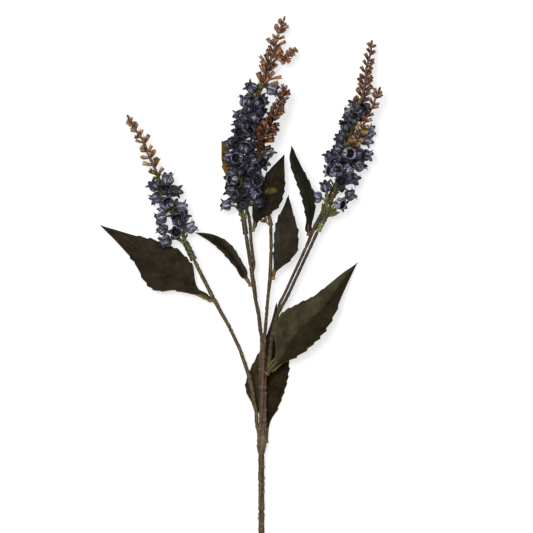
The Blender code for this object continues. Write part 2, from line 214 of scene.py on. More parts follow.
class Shape:
    """Points and faces of one piece's mesh in mm, and each point's values.

    The values are along, across and tone, then the point's place in the shape that it was made for.
    """

    def __init__(self):
        self.points, self.values = np.zeros((0, 3)), np.zeros((0, 6))
        self.faces, self.finishes = [], []

    def add_points(self, points, along=0.0, across=0.0, tone=0.0):
        """Add a block of points and return their numbers in the same layout."""
        points = np.asarray(points, float)
        size = points.shape[:-1]
        values = np.stack([*(np.broadcast_to(value, size) for value in (along, across, tone)),
                           *np.moveaxis(points, -1, 0)], axis=-1)
        numbers = len(self.points) + np.arange(int(np.prod(size))).reshape(size)
        self.points = np.vstack([self.points, points.reshape(-1, 3)])
        self.values = np.vstack([self.values, values.reshape(-1, 6)])
        return numbers

    def skin(self, numbers, finish=OWN, closed=False):
        """Quads between neighbouring rows of point numbers; closed joins the ends of each row."""
        here = numbers if closed else numbers[:, :-1]
        there = np.roll(numbers, -1, axis=1) if closed else numbers[:, 1:]
        quads = np.stack([here[:-1], there[:-1], there[1:], here[1:]], axis=-1).reshape(-1, 4)
        self.faces.extend(quads.tolist())
        self.finishes.extend([finish] * len(quads))

    def cap(self, numbers, finish=OWN):
        """One face over a ring of point numbers."""
        self.faces.append([int(number) for number in numbers])
        self.finishes.append(finish)

    def tube(self, path, radii, sides, along=0.0, across=0.0, tone=0.0, finish=OWN):
        """Closed tube round a path; radii may differ from row to row and from side to side."""
        path = np.asarray(path, float)
        _, side, top = frames_along(path)
        turn = around(sides)
        spokes = (np.cos(turn)[None, :, None] * side[:, None, :]
                  + np.sin(turn)[None, :, None] * top[:, None, :])
        radii = np.asarray(radii, float)
        radii = radii if radii.ndim == 2 else radii[:, None] * np.ones(sides)
        along = np.asarray(along, float)
        numbers = self.add_points(path[:, None, :] + spokes * radii[:, :, None],
                                  along[:, None] if along.ndim else along, across, tone)
        self.skin(numbers, finish, closed=True)
        self.cap(numbers[0], finish)
        self.cap(numbers[-1], finish)

    def sheet(self, points, thickness, along=0.0, across=0.0, tone=0.0, finish=OWN):
        """Thin closed sheet round rows of points."""
        points = np.asarray(points, float)
        normals = np.cross(np.gradient(points, axis=0), np.gradient(points, axis=1))
        normals /= np.maximum(np.linalg.norm(normals, axis=2, keepdims=True), 1e-9)
        outlines = []
        for way in (0.5, -0.5):
            numbers = self.add_points(points + normals * thickness * way, along, across, tone)
            self.skin(numbers, finish)
            outlines.append(np.concatenate([numbers[0, :-1], numbers[:-1, -1],
                                            numbers[-1, :0:-1], numbers[:0:-1, 0]]))
        self.skin(np.stack(outlines), finish, closed=True)

    def add_copy(self, other, turn, origin, scale=1.0, tone=0.0, shift=0.0, finish=None):
        """Add another shape, turned by a matrix, scaled and moved; shift moves its pattern.

        All its faces get the given finish, or keep their own.
        """
        first = len(self.points)
        self.points = np.vstack([self.points, other.points * scale @ turn.T + origin])
        self.values = np.vstack([self.values, other.values + (0, 0, tone, shift, shift, shift)])
        self.faces.extend([[first + number for number in face] for face in other.faces])
        self.finishes.extend(other.finishes if finish is None else [finish] * len(other.faces))


def make_piece(name, shape, finishes, node):
    """Object of a shape, in metres, that stands for a CAD node."""
    points = shape.points.copy()
    points[:, 2] = np.maximum(points[:, 2], FLOOR_HEIGHT + FLOOR_CLEARANCE)
    mesh = bpy.data.meshes.new(name)
    mesh.from_pydata((points * MM).tolist(), [], shape.faces)
    for column, key in enumerate(("along", "across", "tone")):
        values = np.ascontiguousarray(shape.values[:, column], dtype=np.float32)
        mesh.attributes.new(key, "FLOAT", "POINT").data.foreach_set("value", values)
    places = np.ascontiguousarray(shape.values[:, 3:] * MM, dtype=np.float32).ravel()
    mesh.attributes.new("place", "FLOAT_VECTOR", "POINT").data.foreach_set("vector", places)
    mesh.polygons.foreach_set("material_index", shape.finishes)
    outward = bmesh.new()
    outward.from_mesh(mesh)
    bmesh.ops.recalc_face_normals(outward, faces=outward.faces)
    outward.to_mesh(mesh)
    outward.free()
    mesh.shade_smooth()
    mesh.set_sharp_from_angle(angle=SHARP_EDGE)
    for finish in finishes:
        mesh.materials.append(finish)
    piece = bpy.data.objects.new(name, mesh)
    bpy.context.scene.collection.objects.link(piece)
    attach(piece, "root")
    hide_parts(node)
    return piece


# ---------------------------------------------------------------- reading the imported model

def welded(node):
    """Corners of a CAD node in mm, each once, and its triangles as rows of their numbers."""
    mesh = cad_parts[node].data
    corners = np.zeros(len(mesh.vertices) * 3)
    mesh.vertices.foreach_get("co", corners)
    mesh.calc_loop_triangles()
    triangles = np.zeros(len(mesh.loop_triangles) * 3, dtype=np.int32)
    mesh.loop_triangles.foreach_get("vertices", triangles)
    points, number = np.unique(np.round(corners.reshape(-1, 3) / MM, 3), axis=0,
                               return_inverse=True)
    return points, number.ravel()[triangles].reshape(-1, 3)


def layers_from(triangles, start):
    """Corners of a lofted solid in layers, each one edge further from the start corners."""
    links = {}
    for corners in triangles.tolist():
        for corner in corners:
            links.setdefault(corner, set()).update(corners)
    layers, seen = [sorted(start)], set(start)
    while True:
        layer = set().union(*(links[corner] for corner in layers[-1])) - seen
        if not layer:
            return layers
        layers.append(sorted(layer))
        seen |= layer


def tube_stations(node):
    """Stations (x, y, z, radius) of a CAD tube with eight sides, from its -Y end."""
    points, triangles = welded(node)
    layers = layers_from(triangles, np.argsort(points[:, 1])[:CAD_SIDES].tolist())
    if any(len(layer) != CAD_SIDES for layer in layers):
        raise RuntimeError(f"{node} isn't an eight-sided tube")
    stations = []
    for layer in layers:
        ring = points[layer]
        centre = ring.mean(axis=0)
        stations.append((*centre, np.linalg.norm(ring - centre, axis=1).mean()))
    return np.array(stations)


def octagons(node):
    """(radius, centre, outward normal) of each flat regular octagon on a CAD node."""
    points, triangles = welded(node)
    a, b, c = (points[triangles[:, k]] for k in range(3))
    normals = np.cross(b - a, c - a)
    normals /= np.maximum(np.linalg.norm(normals, axis=1, keepdims=True), 1e-9)
    at_edge = {}
    for number, corners in enumerate(triangles.tolist()):
        for k in range(3):
            edge = frozenset((corners[k], corners[k - 1]))
            at_edge.setdefault(edge, []).append(number)
    flat = {number: set() for number in range(len(triangles))}
    for pair in at_edge.values():
        for one in pair:
            flat[one].update(other for other in pair if normals[one].dot(normals[other]) > 0.9999)
    found, seen = [], set()
    for number in flat:
        if number in seen:
            continue
        face, fresh = {number}, {number}
        while fresh:
            fresh = set().union(*(flat[one] for one in fresh)) - face
            face |= fresh
        seen |= face
        corners = points[np.unique(triangles[sorted(face)])]
        centre = corners.mean(axis=0)
        reach = np.linalg.norm(corners - centre, axis=1)
        if len(corners) == CAD_SIDES and np.ptp(reach) < 0.03:
            found.append((reach.mean(), centre, normals[number]))
    return found


def cut_points(points, triangles, origin, normal):
    """Points where a plane cuts the edges of a mesh."""
    height = (points - origin) @ normal
    edges = np.vstack([triangles[:, :2], triangles[:, 1:], triangles[:, ::2]])
    low, high = height[edges[:, 0]], height[edges[:, 1]]
    edges = edges[(low < 0) != (high < 0)]
    low, high = height[edges[:, :1]], height[edges[:, 1:]]
    return points[edges[:, 0]] + (points[edges[:, 1]] - points[edges[:, 0]]) * low / (low - high)


def leaf_lines(node):
    """Midrib, left edge and right edge of a CAD leaf at its stations, petiole to tip."""
    points, triangles = welded(node)
    apart = np.linalg.norm(points[:, None] - points[None], axis=2)
    ends = np.unravel_index(apart.argmax(), apart.shape)
    base, tip = sorted(ends, key=lambda end: -np.count_nonzero(apart[end] < 2))
    chord = points[tip] - points[base]
    side = unit(np.cross(chord, UP))
    lift = np.cross(side, unit(chord))
    edges, folds, creases = [], [], []
    for share in LEAF_STATIONS:
        cut = cut_points(points, triangles, points[base] + chord * share, unit(chord))
        left, right = cut[(cut @ side).argmin()], cut[(cut @ side).argmax()]
        across = right - left
        over = (cut - left) @ lift - ((cut - left) @ across / across.dot(across)) * (across @ lift)
        lowest = cut[over.argmin()]
        half = np.interp(share, FLATTENING, (PETIOLE_RADIUS, CAD_LEAF_THICKNESS / 2))
        edges.append((left, right))
        folds.append(max(0, -over.min() - half))
        if folds[-1] > LEAST_FOLD:
            creases.append((lowest - left) @ across / across.dot(across))
    edges = np.array(edges)
    middle = edges[:, 0] + (edges[:, 1] - edges[:, 0]) * (np.median(creases) if creases else 0.5)
    middle -= lift * np.array(folds)[:, None]
    lines = np.concatenate([middle[:, None], edges], axis=1)
    lines = np.vstack([lines, np.broadcast_to(points[tip], (1, 3, 3))])
    return np.array((*LEAF_STATIONS, 1.0)), lines


# ---------------------------------------------------------------- finishes

def add_node(tree, kind, inputs=(), stops=(), **settings):
    """Add a shader node with its settings.

    Inputs give a socket's value, the output that feeds it, or a node whose first output does. Stops
    are the places and colours of a ramp.
    """
    made = tree.nodes.new("ShaderNode" + kind)
    for key, value in settings.items():
        setattr(made, key, value)
    for socket, value in dict(inputs).items():
        source = value.outputs[0] if isinstance(value, bpy.types.Node) else value
        if isinstance(source, bpy.types.NodeSocket):
            tree.links.new(source, made.inputs[socket])
        else:
            made.inputs[socket].default_value = source
    for number, (position, colour) in enumerate(stops):
        if number >= len(made.color_ramp.elements):
            made.color_ramp.elements.new(position)
        made.color_ramp.elements[number].position = position
        made.color_ramp.elements[number].color = colour
    return made


def start_finish(name, *keys):
    """New material, its node tree, place in the model, and the mesh's values of the given names."""
    made = bpy.data.materials.new(name)
    made.use_nodes = True
    tree = made.node_tree
    place = add_node(tree, "TexCoord").outputs["Object"]
    values = [add_node(tree, "Attribute", attribute_name=key).outputs["Fac"] for key in keys]
    return made, tree, place, *values


def end_finish(made, colour, height, strength, depth, roughness, shine, coat=0.0):
    """Link colour and relief to a dielectric's shader; what doesn't vary is set on the shader.

    Depth is that of the relief, in mm.
    """
    tree = made.node_tree
    inputs = tree.nodes["Principled BSDF"].inputs
    bump = add_node(tree, "Bump", {"Height": height, "Strength": strength, "Distance": depth * MM})
    tree.links.new(colour, inputs["Base Color"])
    tree.links.new(bump.outputs["Normal"], inputs["Normal"])
    inputs["Roughness"].default_value = roughness
    inputs["IOR"].default_value = PLASTIC_IOR
    inputs["Specular IOR Level"].default_value = shine
    inputs["Coat Weight"].default_value = coat
    inputs["Coat Roughness"].default_value = 0.25
    return made


def moulded_bark_polyethylene(name, groove, body, ridge):
    """Polyethylene moulded over wire with bark ridges: dull, streaked along its length."""
    made, tree, place, relief = start_finish(name, "across")
    # streaks 2 mm wide and 12.5 mm long, and a grain of 0.8 mm
    wide, long = 1 / (2 * MM), 1 / (12.5 * MM)
    stretched = add_node(tree, "Mapping", {0: place, "Scale": (wide, long, wide)})
    streaks = add_node(tree, "TexNoise", {"Vector": stretched, "Scale": 1, "Detail": 4,
                                          "Roughness": 0.6})
    grain = add_node(tree, "TexNoise", {"Vector": place, "Scale": 1 / (0.8 * MM), "Detail": 3})
    # streaks, plus the relief, which paints shade into the grooves and waists and a highlight onto
    # the ridges, knots and scars
    pattern_and_painted_light = add_node(tree, "Math", {0: streaks, 1: relief}, operation="ADD")
    colour = add_node(tree, "ValToRGB", {"Fac": pattern_and_painted_light},
                      stops=((0.28, shade(groove)), (0.62, shade(body)), (1.15, shade(ridge))))
    height = add_node(tree, "Math", {0: streaks, 1: grain}, operation="ADD")
    return end_finish(made, colour.outputs[0], height, 0.7, 0.4, roughness=0.62, shine=0.25)


def mottled_green_polyethylene(name, ground, mottle, pale_dab_and_highlight, middle, top):
    """Dyed polyethylene, moulded and dabbed with brown: a blotchy sleeve with a painted highlight of
    pale dabs on its side towards the light, and pale dabs at the bracts' edges.

    Above the sleeve the axis is waxy green and browns towards the tip.
    """
    made, tree, place, along, painted_highlight_and_pale_edges = start_finish(name, "along", "tone")
    # dabs 3 mm wide with a finer grain in them
    dabs = add_node(tree, "TexNoise", {"Vector": place, "Scale": 1 / (3.03 * MM), "Detail": 4,
                                       "Roughness": 0.65})
    blotch = add_node(tree, "ValToRGB", {"Fac": dabs},
                      stops=((0.36, shade(ground)), (0.56, shade(mottle)), (0.75, shade(pale_dab_and_highlight))))
    pale = add_node(tree, "MapRange", {"Value": dabs, "From Min": 0.4, "From Max": 0.52})
    # pale dabs where tone is high: the painted highlight on the sleeve's lit side, and the bracts'
    # pale edges
    highlight_and_edge_mask = add_node(tree, "Math", {0: pale, 1: painted_highlight_and_pale_edges}, operation="MULTIPLY")
    sleeve = add_node(tree, "Mix", {0: highlight_and_edge_mask, 6: blotch, 7: shade(pale_dab_and_highlight)}, data_type="RGBA")
    drift = add_node(tree, "Math", {0: dabs, 1: 0.5, 2: along}, operation="MULTIPLY_ADD")
    upper = add_node(tree, "ValToRGB", {"Fac": drift},
                     stops=((0.3, shade(ground)), (0.55, shade(middle)), (1.15, shade(top))))
    above = add_node(tree, "MapRange", {"Value": along, "From Min": 0.2, "From Max": 0.3})
    colour = add_node(tree, "Mix", {0: above, 6: sleeve.outputs[2], 7: upper}, data_type="RGBA")
    return end_finish(made, colour.outputs[2], dabs, 0.6, 0.5, roughness=0.5, shine=0.3)


def fleshy_green_polyethylene(name, low, middle, top):
    """Dyed polyethylene, moulded smooth: waxy, with a soft gloss and a paler free end."""
    made, tree, place, along = start_finish(name, "along")
    # clouds of dye 2.5 mm across
    cloud = add_node(tree, "TexNoise", {"Vector": place, "Scale": 1 / (2.5 * MM), "Detail": 3})
    spot = add_node(tree, "Math", {0: cloud, 1: 0.7, 2: along}, operation="MULTIPLY_ADD")
    colour = add_node(tree, "ValToRGB", {"Fac": spot},
                      stops=((0.35, shade(low)), (0.7, shade(middle)), (1.2, shade(top))))
    return end_finish(made, colour.outputs[0], cloud, 0.5, 0.3, roughness=0.45, shine=0.35)


def frosted_bell_polyethylene(sizes):
    """Moulded polyethylene dry-brushed with pale paint, which stays on the crinkles' tops.

    The eye sees a dark navy bell with broken, frosty strokes along it and dark tooth points.
    """
    made, tree, place, along, relief, tone = start_finish("frosted_bell_polyethylene", "along",
                                                          "across", "tone")
    # patches of paint 4 mm across, broken up by brush marks 0.9 mm wide and 5 mm long on the bell
    patch = add_node(tree, "TexNoise", {"Vector": place, "Scale": 1 / (4 * MM), "Detail": 2})
    on_bell = add_node(tree, "Attribute", attribute_name="place").outputs["Vector"]
    wide, long = 1 / (0.909 * MM), 1 / (5 * MM)
    stretched = add_node(tree, "Mapping", {0: on_bell, "Scale": (wide, wide, long)})
    brush = add_node(tree, "TexNoise", {"Vector": stretched, "Scale": 1, "Detail": 4,
                                        "Roughness": 0.65})
    spread = add_node(tree, "Math", {0: patch, 1: 0.9, 2: tone}, operation="MULTIPLY_ADD")
    marks = add_node(tree, "Math", {0: brush, 1: 1.7, 2: spread}, operation="MULTIPLY_ADD")
    paint = add_node(tree, "Math", {0: relief, 1: 0.55, 2: marks}, operation="MULTIPLY_ADD")
    cover = add_node(tree, "MapRange", {"Value": paint, "From Min": 0.68, "From Max": 2.08})
    body = add_node(tree, "ValToRGB", {"Fac": cover},
                    stops=((0.14, (*sizes.groove_colour, 1)), (0.48, (*sizes.body_colour, 1)),
                           (0.84, (*sizes.frost_colour, 1))))
    tips = add_node(tree, "MapRange", {"Value": along, "From Min": 0.84, "From Max": 0.95,
                                       "To Max": 0.86}, interpolation_type="SMOOTHSTEP")
    colour = add_node(tree, "Mix", {0: tips, 6: body, 7: (*sizes.tooth_colour, 1)},
                      data_type="RGBA")
    return end_finish(made, colour.outputs[2], brush, 0.6, 0.4, roughness=0.5, shine=0.25)


def lacquered_bud_polyethylene(name, foot, side, top):
    """Moulded polyethylene under a thin copper brown lacquer.

    The lacquer is glossy. Tan on the buds' flat sides is a painted highlight; dark on their ridges
    and in their cups is painted shade, and dark on their rims partly painted shade, partly their own.
    """
    made, tree, place, along, ridges, tone = start_finish(name, "along", "across", "tone")
    # runs of lacquer 2 mm across
    runs = add_node(tree, "TexNoise", {"Vector": place, "Scale": 1 / (2 * MM), "Detail": 4,
                                       "Roughness": 0.65})
    # across is dark on the buds' corner ridges and pale on their flat sides: painted shade and
    # painted highlight
    pattern_and_painted_light = add_node(tree, "Math", {0: ridges, 1: 0.4, 2: tone}, operation="MULTIPLY_ADD")
    drift = add_node(tree, "Math", {0: runs, 1: 1.1, 2: pattern_and_painted_light}, operation="MULTIPLY_ADD")
    # along darkens the foot, its own olive brown, and the rims and cups as painted shade; the tan
    # towards the top is partly a painted highlight
    spot = add_node(tree, "Math", {0: along, 1: 0.75, 2: drift}, operation="MULTIPLY_ADD")
    # thin carries the lacquer's colours together with the painted highlight and shade
    thin = add_node(tree, "MapRange", {"Value": spot, "From Min": 0.35, "From Max": 1.5})
    colour = add_node(tree, "ValToRGB", {"Fac": thin},
                      stops=((0.15, shade(foot)), (0.5, shade(side)), (0.9, shade(top))))
    return end_finish(made, colour.outputs[0], runs, 0.5, 0.4, roughness=0.34, shine=0.4, coat=0.35)


def printed_satin_leaf(name, left, right, vein, stain):
    """Polyester satin, printed, starched and hot pressed: dull dark halves with faint veins.

    One half is painted paler than the other, as a painted sheen of the satin.
    """
    made, tree, place, along, across, stained = start_finish(name, "along", "across", "tone")
    # the halves' two colours: the paler one carries a painted sheen
    halves = add_node(tree, "MapRange", {"Value": across, "From Min": -0.03, "From Max": 0.03})
    ground = add_node(tree, "Mix", {0: halves, 6: shade(left), 7: shade(right)}, data_type="RGBA")
    # clouds of print 14 mm wide
    cloud = add_node(tree, "TexNoise", {"Vector": place, "Scale": 1 / (14.3 * MM), "Detail": 6,
                                        "Roughness": 0.6})
    light = add_node(tree, "MapRange", {"Value": cloud, "From Min": 0.3, "From Max": 0.7,
                                        "To Min": 0.45, "To Max": 1.45})
    mottled = add_node(tree, "VectorMath", {0: ground.outputs[2], "Scale": light},
                       operation="SCALE")
    # side veins leave the midrib at about 45 degrees
    out = add_node(tree, "Math", {0: across}, operation="ABSOLUTE")
    slanted = add_node(tree, "Math", {0: out, 1: -VEIN_SLANT, 2: along}, operation="MULTIPLY_ADD")
    count = add_node(tree, "Math", {0: slanted, 1: VEIN_PAIRS}, operation="MULTIPLY")
    wave = add_node(tree, "Math", {0: count, 1: 0.5}, operation="PINGPONG")
    line = add_node(tree, "MapRange", {"Value": wave, "From Min": 0.43, "From Max": 0.5})
    midrib = add_node(tree, "MapRange", {"Value": out, "From Min": 0.05, "From Max": 0.01})
    veins = add_node(tree, "Math", {0: line, 1: midrib}, operation="MAXIMUM")
    faint = add_node(tree, "Math", {0: veins, 1: 0.22}, operation="MULTIPLY")
    veined = add_node(tree, "Mix", {0: faint, 6: mottled, 7: shade(vein)}, data_type="RGBA")
    marked = add_node(tree, "Mix", {0: stained, 6: veined.outputs[2], 7: shade(stain)},
                      data_type="RGBA")
    # weave with lines 1.5 mm apart, about ten times as coarse as real satin so that it shows
    weave = add_node(tree, "TexWave", {"Vector": place, "Scale": WAVE_SPACING / (1.481 * MM),
                                       "Distortion": 1.5, "Detail": 2, "Detail Scale": 3},
                     bands_direction="DIAGONAL")
    pressed = add_node(tree, "Math", {0: veins, 1: -1.6, 2: weave.outputs["Fac"]},
                       operation="MULTIPLY_ADD")
    return end_finish(made, marked.outputs[2], pressed, 0.5, 0.25, roughness=0.75, shine=0.05)


# ---------------------------------------------------------------- stems

class StemSizes(bpy.types.PropertyGroup):
    ridge_depth: FloatProperty(name="Ridge depth", default=0.22, min=0, max=1,
                               description="Depth of the moulded bark ridges, in mm")
    knot_height: FloatProperty(name="Knot height", default=1.1, min=0, max=3,
                               description="How far the knots stand out, in mm")


# Groove and ridge colours end the streaks and are also the painted shade in the bark's grooves and
# the painted highlight on its ridges and knots
STEM_COLOURS = {   # groove, body and ridge
    "main_stem": ("#281c10", "#604d39", "#88745b"),
    "left_branch": ("#2e2415", "#605334", "#8a7f58"),
    "centre_branch": ("#291f14", "#51442f", "#756548"),
    "centre_back_branch": ("#291f14", "#4f422e", "#756548"),
    "centre_right_branch": ("#2d2313", "#534427", "#726438"),
    "right_branch": ("#262016", "#453c29", "#6f624a"),
    "right_back_branch": ("#2b2016", "#4e4032", "#77664f"),
}
# Thicker stretch of a stem, in mm: its middle from the stem's foot, its reach and its height
SWELLINGS = {"main_stem": (125, 8, 1.3)}
# Rings at a knot: place from its middle and reach, in mm, and share of the knot height
KNOT_RINGS = ((-3.5, 2.0, 0.35), (0.0, 1.3, -0.75), (4.0, 2.5, 0.45))
STEM_SIDES = 28


def stem_route(node, stations):
    """Stations of a stem, started inside the stem that it grows from."""
    if node in STEM_JOINS:
        axis, reach = STEM_JOINS[node]
        host = tube_stations(axis)
        joint = np.array([np.interp(reach, distances(host[:, :3]), column) for column in host.T])
        stations = np.vstack([stations, joint])
    parent, hug = STEM_PARENTS[node]
    if parent is None:
        return stations
    host = tube_stations(parent)
    back = stations[0, 1] - hug
    root = np.array([np.interp(back, host[:, 1], column) for column in host.T])
    root[3] = stations[0, 3] * 0.8
    return np.vstack([root, stations])


def stem_shape(node, sizes):
    """Moulded stem with bark ridges, a waist at each station of the CAD tube and bud scars."""
    route = stem_route(node, tube_stations(node))
    at, rows = even_steps(route, 0.8, 5.0)
    turn = around(STEM_SIDES)
    rng = random.Random(node)
    phase = any_turn(rng)
    ridges = np.abs(np.cos(2.5 * turn[None] + phase + at[:, None] * 0.03))
    wobble = (np.sin(at[:, None] * 0.9 + 2 * turn[None]) + np.sin(at[:, None] * 0.37 + phase)
              + np.sin(at[:, None] * 0.21 - turn[None]))
    bulge = np.zeros((len(at), STEM_SIDES))
    knots = distances(route[:, :3])
    for before, knot, after in zip(knots, knots[1:], knots[2:]):
        lopsided = 0.8 + 0.3 * np.cos(turn - any_turn(rng))
        lopsided *= np.clip((min(knot - before, after - knot) - 8) / 18, 0.3, 1)
        for step, width, height in KNOT_RINGS:
            ring = height * np.exp(-((at - knot - step) / width) ** 2)
            bulge += ring[:, None] * lopsided * sizes.knot_height
    spot = rng.uniform(6, 12)
    while spot < at[-1] - 6:
        scar = np.exp(4 * np.cos(turn - any_turn(rng)) - 4) * rng.uniform(0.5, 1.2)
        bulge += np.exp(-((at - spot) / 1.2) ** 2)[:, None] * scar * sizes.knot_height
        spot += rng.uniform(4, 10)
    if node in SWELLINGS:
        middle, reach, height = SWELLINGS[node]
        bulge += height * np.exp(-((at - middle) / reach) ** 2)[:, None] * (1 + 0.2 * wobble)
    slim = np.clip(rows[:, 3:] / 3.7, 0.5, 1)
    radii = rows[:, 3:] + (sizes.ridge_depth * (ridges - 0.4) + 0.1 * wobble + bulge) * slim
    radii *= np.clip((at[-1] + 0.5 - at) / 5, 0, 1)[:, None] ** 0.5
    shape = Shape()
    # across: painted highlight on ridges, knots and scars, painted shade in grooves and waists
    relief = 0.25 * (ridges - 0.6) + 0.25 * np.clip(bulge, -0.3, 1)
    shape.tube(rows[:, :3], radii, STEM_SIDES, along=at / at[-1], across=relief)
    return shape


class BELLFLOWER_OT_stems(bpy.types.Operator):
    """Main stem and its branches"""
    bl_idname = "bellflower.stems"
    bl_label = "Stems"

    def execute(self, context):
        sizes = context.scene.bellflower_stems
        for node in STEM_PARENTS:
            finish = moulded_bark_polyethylene("moulded_bark_" + node, *STEM_COLOURS[node])
            make_piece(node + "_moulding", stem_shape(node, sizes), [finish], node)
        return {"FINISHED"}


# ---------------------------------------------------------------- bracts and buds

def add_bract(shape, rng, start, way, length, width, side=None, finish=SECOND):
    """Pointed bract, cupped along its middle, that leans out from a stalk to a given side.

    Width is half of what it measures across. Its own finish is the mottled one of an axis, where
    along picks the stretch of the sleeve.
    """
    if side is None:
        turn = turned_to(way, any_turn(rng))
    else:
        out = unit(side - way * side.dot(way))
        turn = np.stack([np.cross(out, way), out, way], axis=1)
    far = np.linspace(0, 1, 7)
    half = width * np.sin(np.pi * (far * 0.87 + 0.12)) + 0.05
    across = half[:, None] * np.array((-1, -0.5, 0, 0.5, 1))[None]
    lift = 0.5 + far ** 2 * length * 0.25
    points = np.stack([across, lift[:, None] + across ** 2 * 0.5 / width,
                       np.broadcast_to((far * length)[:, None], across.shape)], axis=-1)
    tone = 0.0 if side is None else 0.5 * (across / width) ** 2
    along = 0.1 + 0.13 * far[:, None]
    if finish != OWN:
        along = 0.1 + 0.3 * far[:, None] + 0.2 * (across / width) ** 2
    shape.sheet(points @ turn.T + start, 0.4, along=along, tone=tone, finish=finish)


# Outlines of an open and of a plump bud: share of the length, share of the widest radius
OPEN_BUD = ((0, 0.4), (0.15, 0.42), (0.35, 0.6), (0.55, 0.86), (0.75, 0.97), (0.9, 1.0),
            (1.0, 1.08))
PLUMP_BUD = ((0, 0.4), (0.12, 0.42), (0.26, 0.68), (0.42, 0.92), (0.6, 1.0), (0.76, 0.9),
             (0.9, 0.62), (0.98, 0.3), (1.0, 0.1))
CUP_LENGTH = 14             # mm of a long open bud that flare, above a slender foot


def bud_shape(length, radius, is_open, rng):
    """One bud along +Z: a flared cup with a ragged square end, or a closed plump one."""
    shape = Shape()
    turn = around(12)
    far, wide = np.array(OPEN_BUD if is_open else PLUMP_BUD).T
    if is_open:
        far[1:] = 1 - (1 - far[1:]) * min(1, CUP_LENGTH / length)
    corners = rng.choice((4, 5)) * turn + any_turn(rng)
    # the corners stand out; their across value is dark, as painted shade, and that of the flat sides
    # pale, as a painted highlight
    corner_ridges = np.cos(corners) * np.clip(far * 2 - 0.3, 0, 1)[:, None]
    facets = 1 + 0.12 * corner_ridges + 0.05 * np.sin(7 * turn + far[:, None] * 4)
    heights = (far * length)[:, None] * np.ones(len(turn))
    if is_open:
        heights[-1] += radius * (0.3 * np.cos(corners) + 0.12 * np.sin(5 * turn))
    pale = far.copy()
    # the rim of an open cup is dark: partly painted shade, partly its own darker edge
    if is_open:
        pale[-1] = 0.2      # the rim is dark
    outer = shape.add_points(round_points(radius * wide[:, None] * facets, heights, turn),
                             pale[:, None], -corner_ridges)
    shape.skin(outer, closed=True)
    shape.cap(outer[0])
    if is_open:
        # the hollow of the cup, darker towards its bottom as painted shade
        inner = shape.add_points(
            round_points(radius * np.array((0.84, 0.62, 0.4))[:, None],
                         heights[-1] - length * np.array((0.02, 0.12, 0.2))[:, None], turn),
            np.array((0.7, 0.2, 0.0))[:, None])
        shape.skin(np.vstack([outer[-1:], inner]), closed=True)
        shape.cap(inner[-1])
    else:
        shape.cap(outer[-1])
    # two pointed scales that hug the lower half
    for number in range(2):
        where = FULL_TURN * (number + rng.uniform(-0.25, 0.25)) / 2
        rise = np.array((0.0, 0.15, 0.32, 0.5))
        out = radius * np.array((0.42, 0.55, 0.75, 1.0))
        half = np.array((0.5, 0.6, 0.4, 0.06)) / out * radius * 0.5
        points = round_points(out[:, None], (rise * length)[:, None],
                              where + half[:, None] * np.array((-1, 0, 1))[None])
        shape.sheet(points, 0.3, along=0.15 + rise[:, None] * 0.6)
    return shape


# ---------------------------------------------------------------- spike axes

class AxisSizes(bpy.types.PropertyGroup):
    sleeve_swell: FloatProperty(name="Sleeve swell", default=0.9, min=0, max=3,
                                description="How much thicker a sleeve is than its CAD tube, in mm")
    collar_height: FloatProperty(name="Collar height", default=0.5, min=0, max=2,
                                 description="How far the sleeve's collars stand out, in mm")
    bract_gap: FloatProperty(name="Bract gap", default=7.5, min=4, max=40,
                             description="Distance between the bracts along an axis, in mm")


# The pale dab colour of a sleeve is also its painted highlight
AXIS_COLOURS = {   # ground, mottle and pale bands of the sleeve, green middle and brown top
    "left_spike": ("#271d12", "#443f26", "#68743f", "#464824", "#4f3f22"),
    "centre_spike": ("#2a2015", "#4c3f2e", "#5f5336", "#484a22", "#54401f"),
    "front_spike": ("#332a17", "#5a4a28", "#6c5f36", "#4a4621", "#5b3a22"),
    "right_spike": ("#2a2014", "#463d22", "#83985f", "#533f1f", "#3d3a1a"),
    "right_side_spike": ("#2a2015", "#4a3a24", "#5c4f2e", "#503a1f", "#5b3d20"),
}
SLEEVE_SIDES = 22
# Sleeves: share of the swell, share of the length with a full painted highlight on the side towards
# the light, and its strength on that side above it
SLEEVES = {"left_spike": (1.3, 0.05, 0.35), "centre_spike": (0.3, 0, 0), "front_spike": (0.0, 0, 0),
           "right_spike": (1.0, 0.48, 0.1), "right_side_spike": (0.2, 0, 0)}
# Bracts round the top of each sleeve: how many, their length, half width in mm, and their lean
FORK_BRACTS = {"left_spike": (2, 5, 1.2, 0.8), "centre_spike": (2, 6, 1.2, 0.8),
               "front_spike": (2, 7, 1.4, 0.5), "right_spike": (7, 17, 2.7, 0.8),
               "right_side_spike": (3, 8, 1.6, 0.5)}
# Young cups on the last stretch of an axis, under the budded tip: how many, and their ends' colour
YOUNG_BUDS = {"left_spike": (4, "#5a4a22"), "centre_spike": (8, "#8a7d3c"),
              "front_spike": (2, "#7a5228"), "right_spike": (5, "#80682f"),
              "right_side_spike": (3, "#7a5228")}


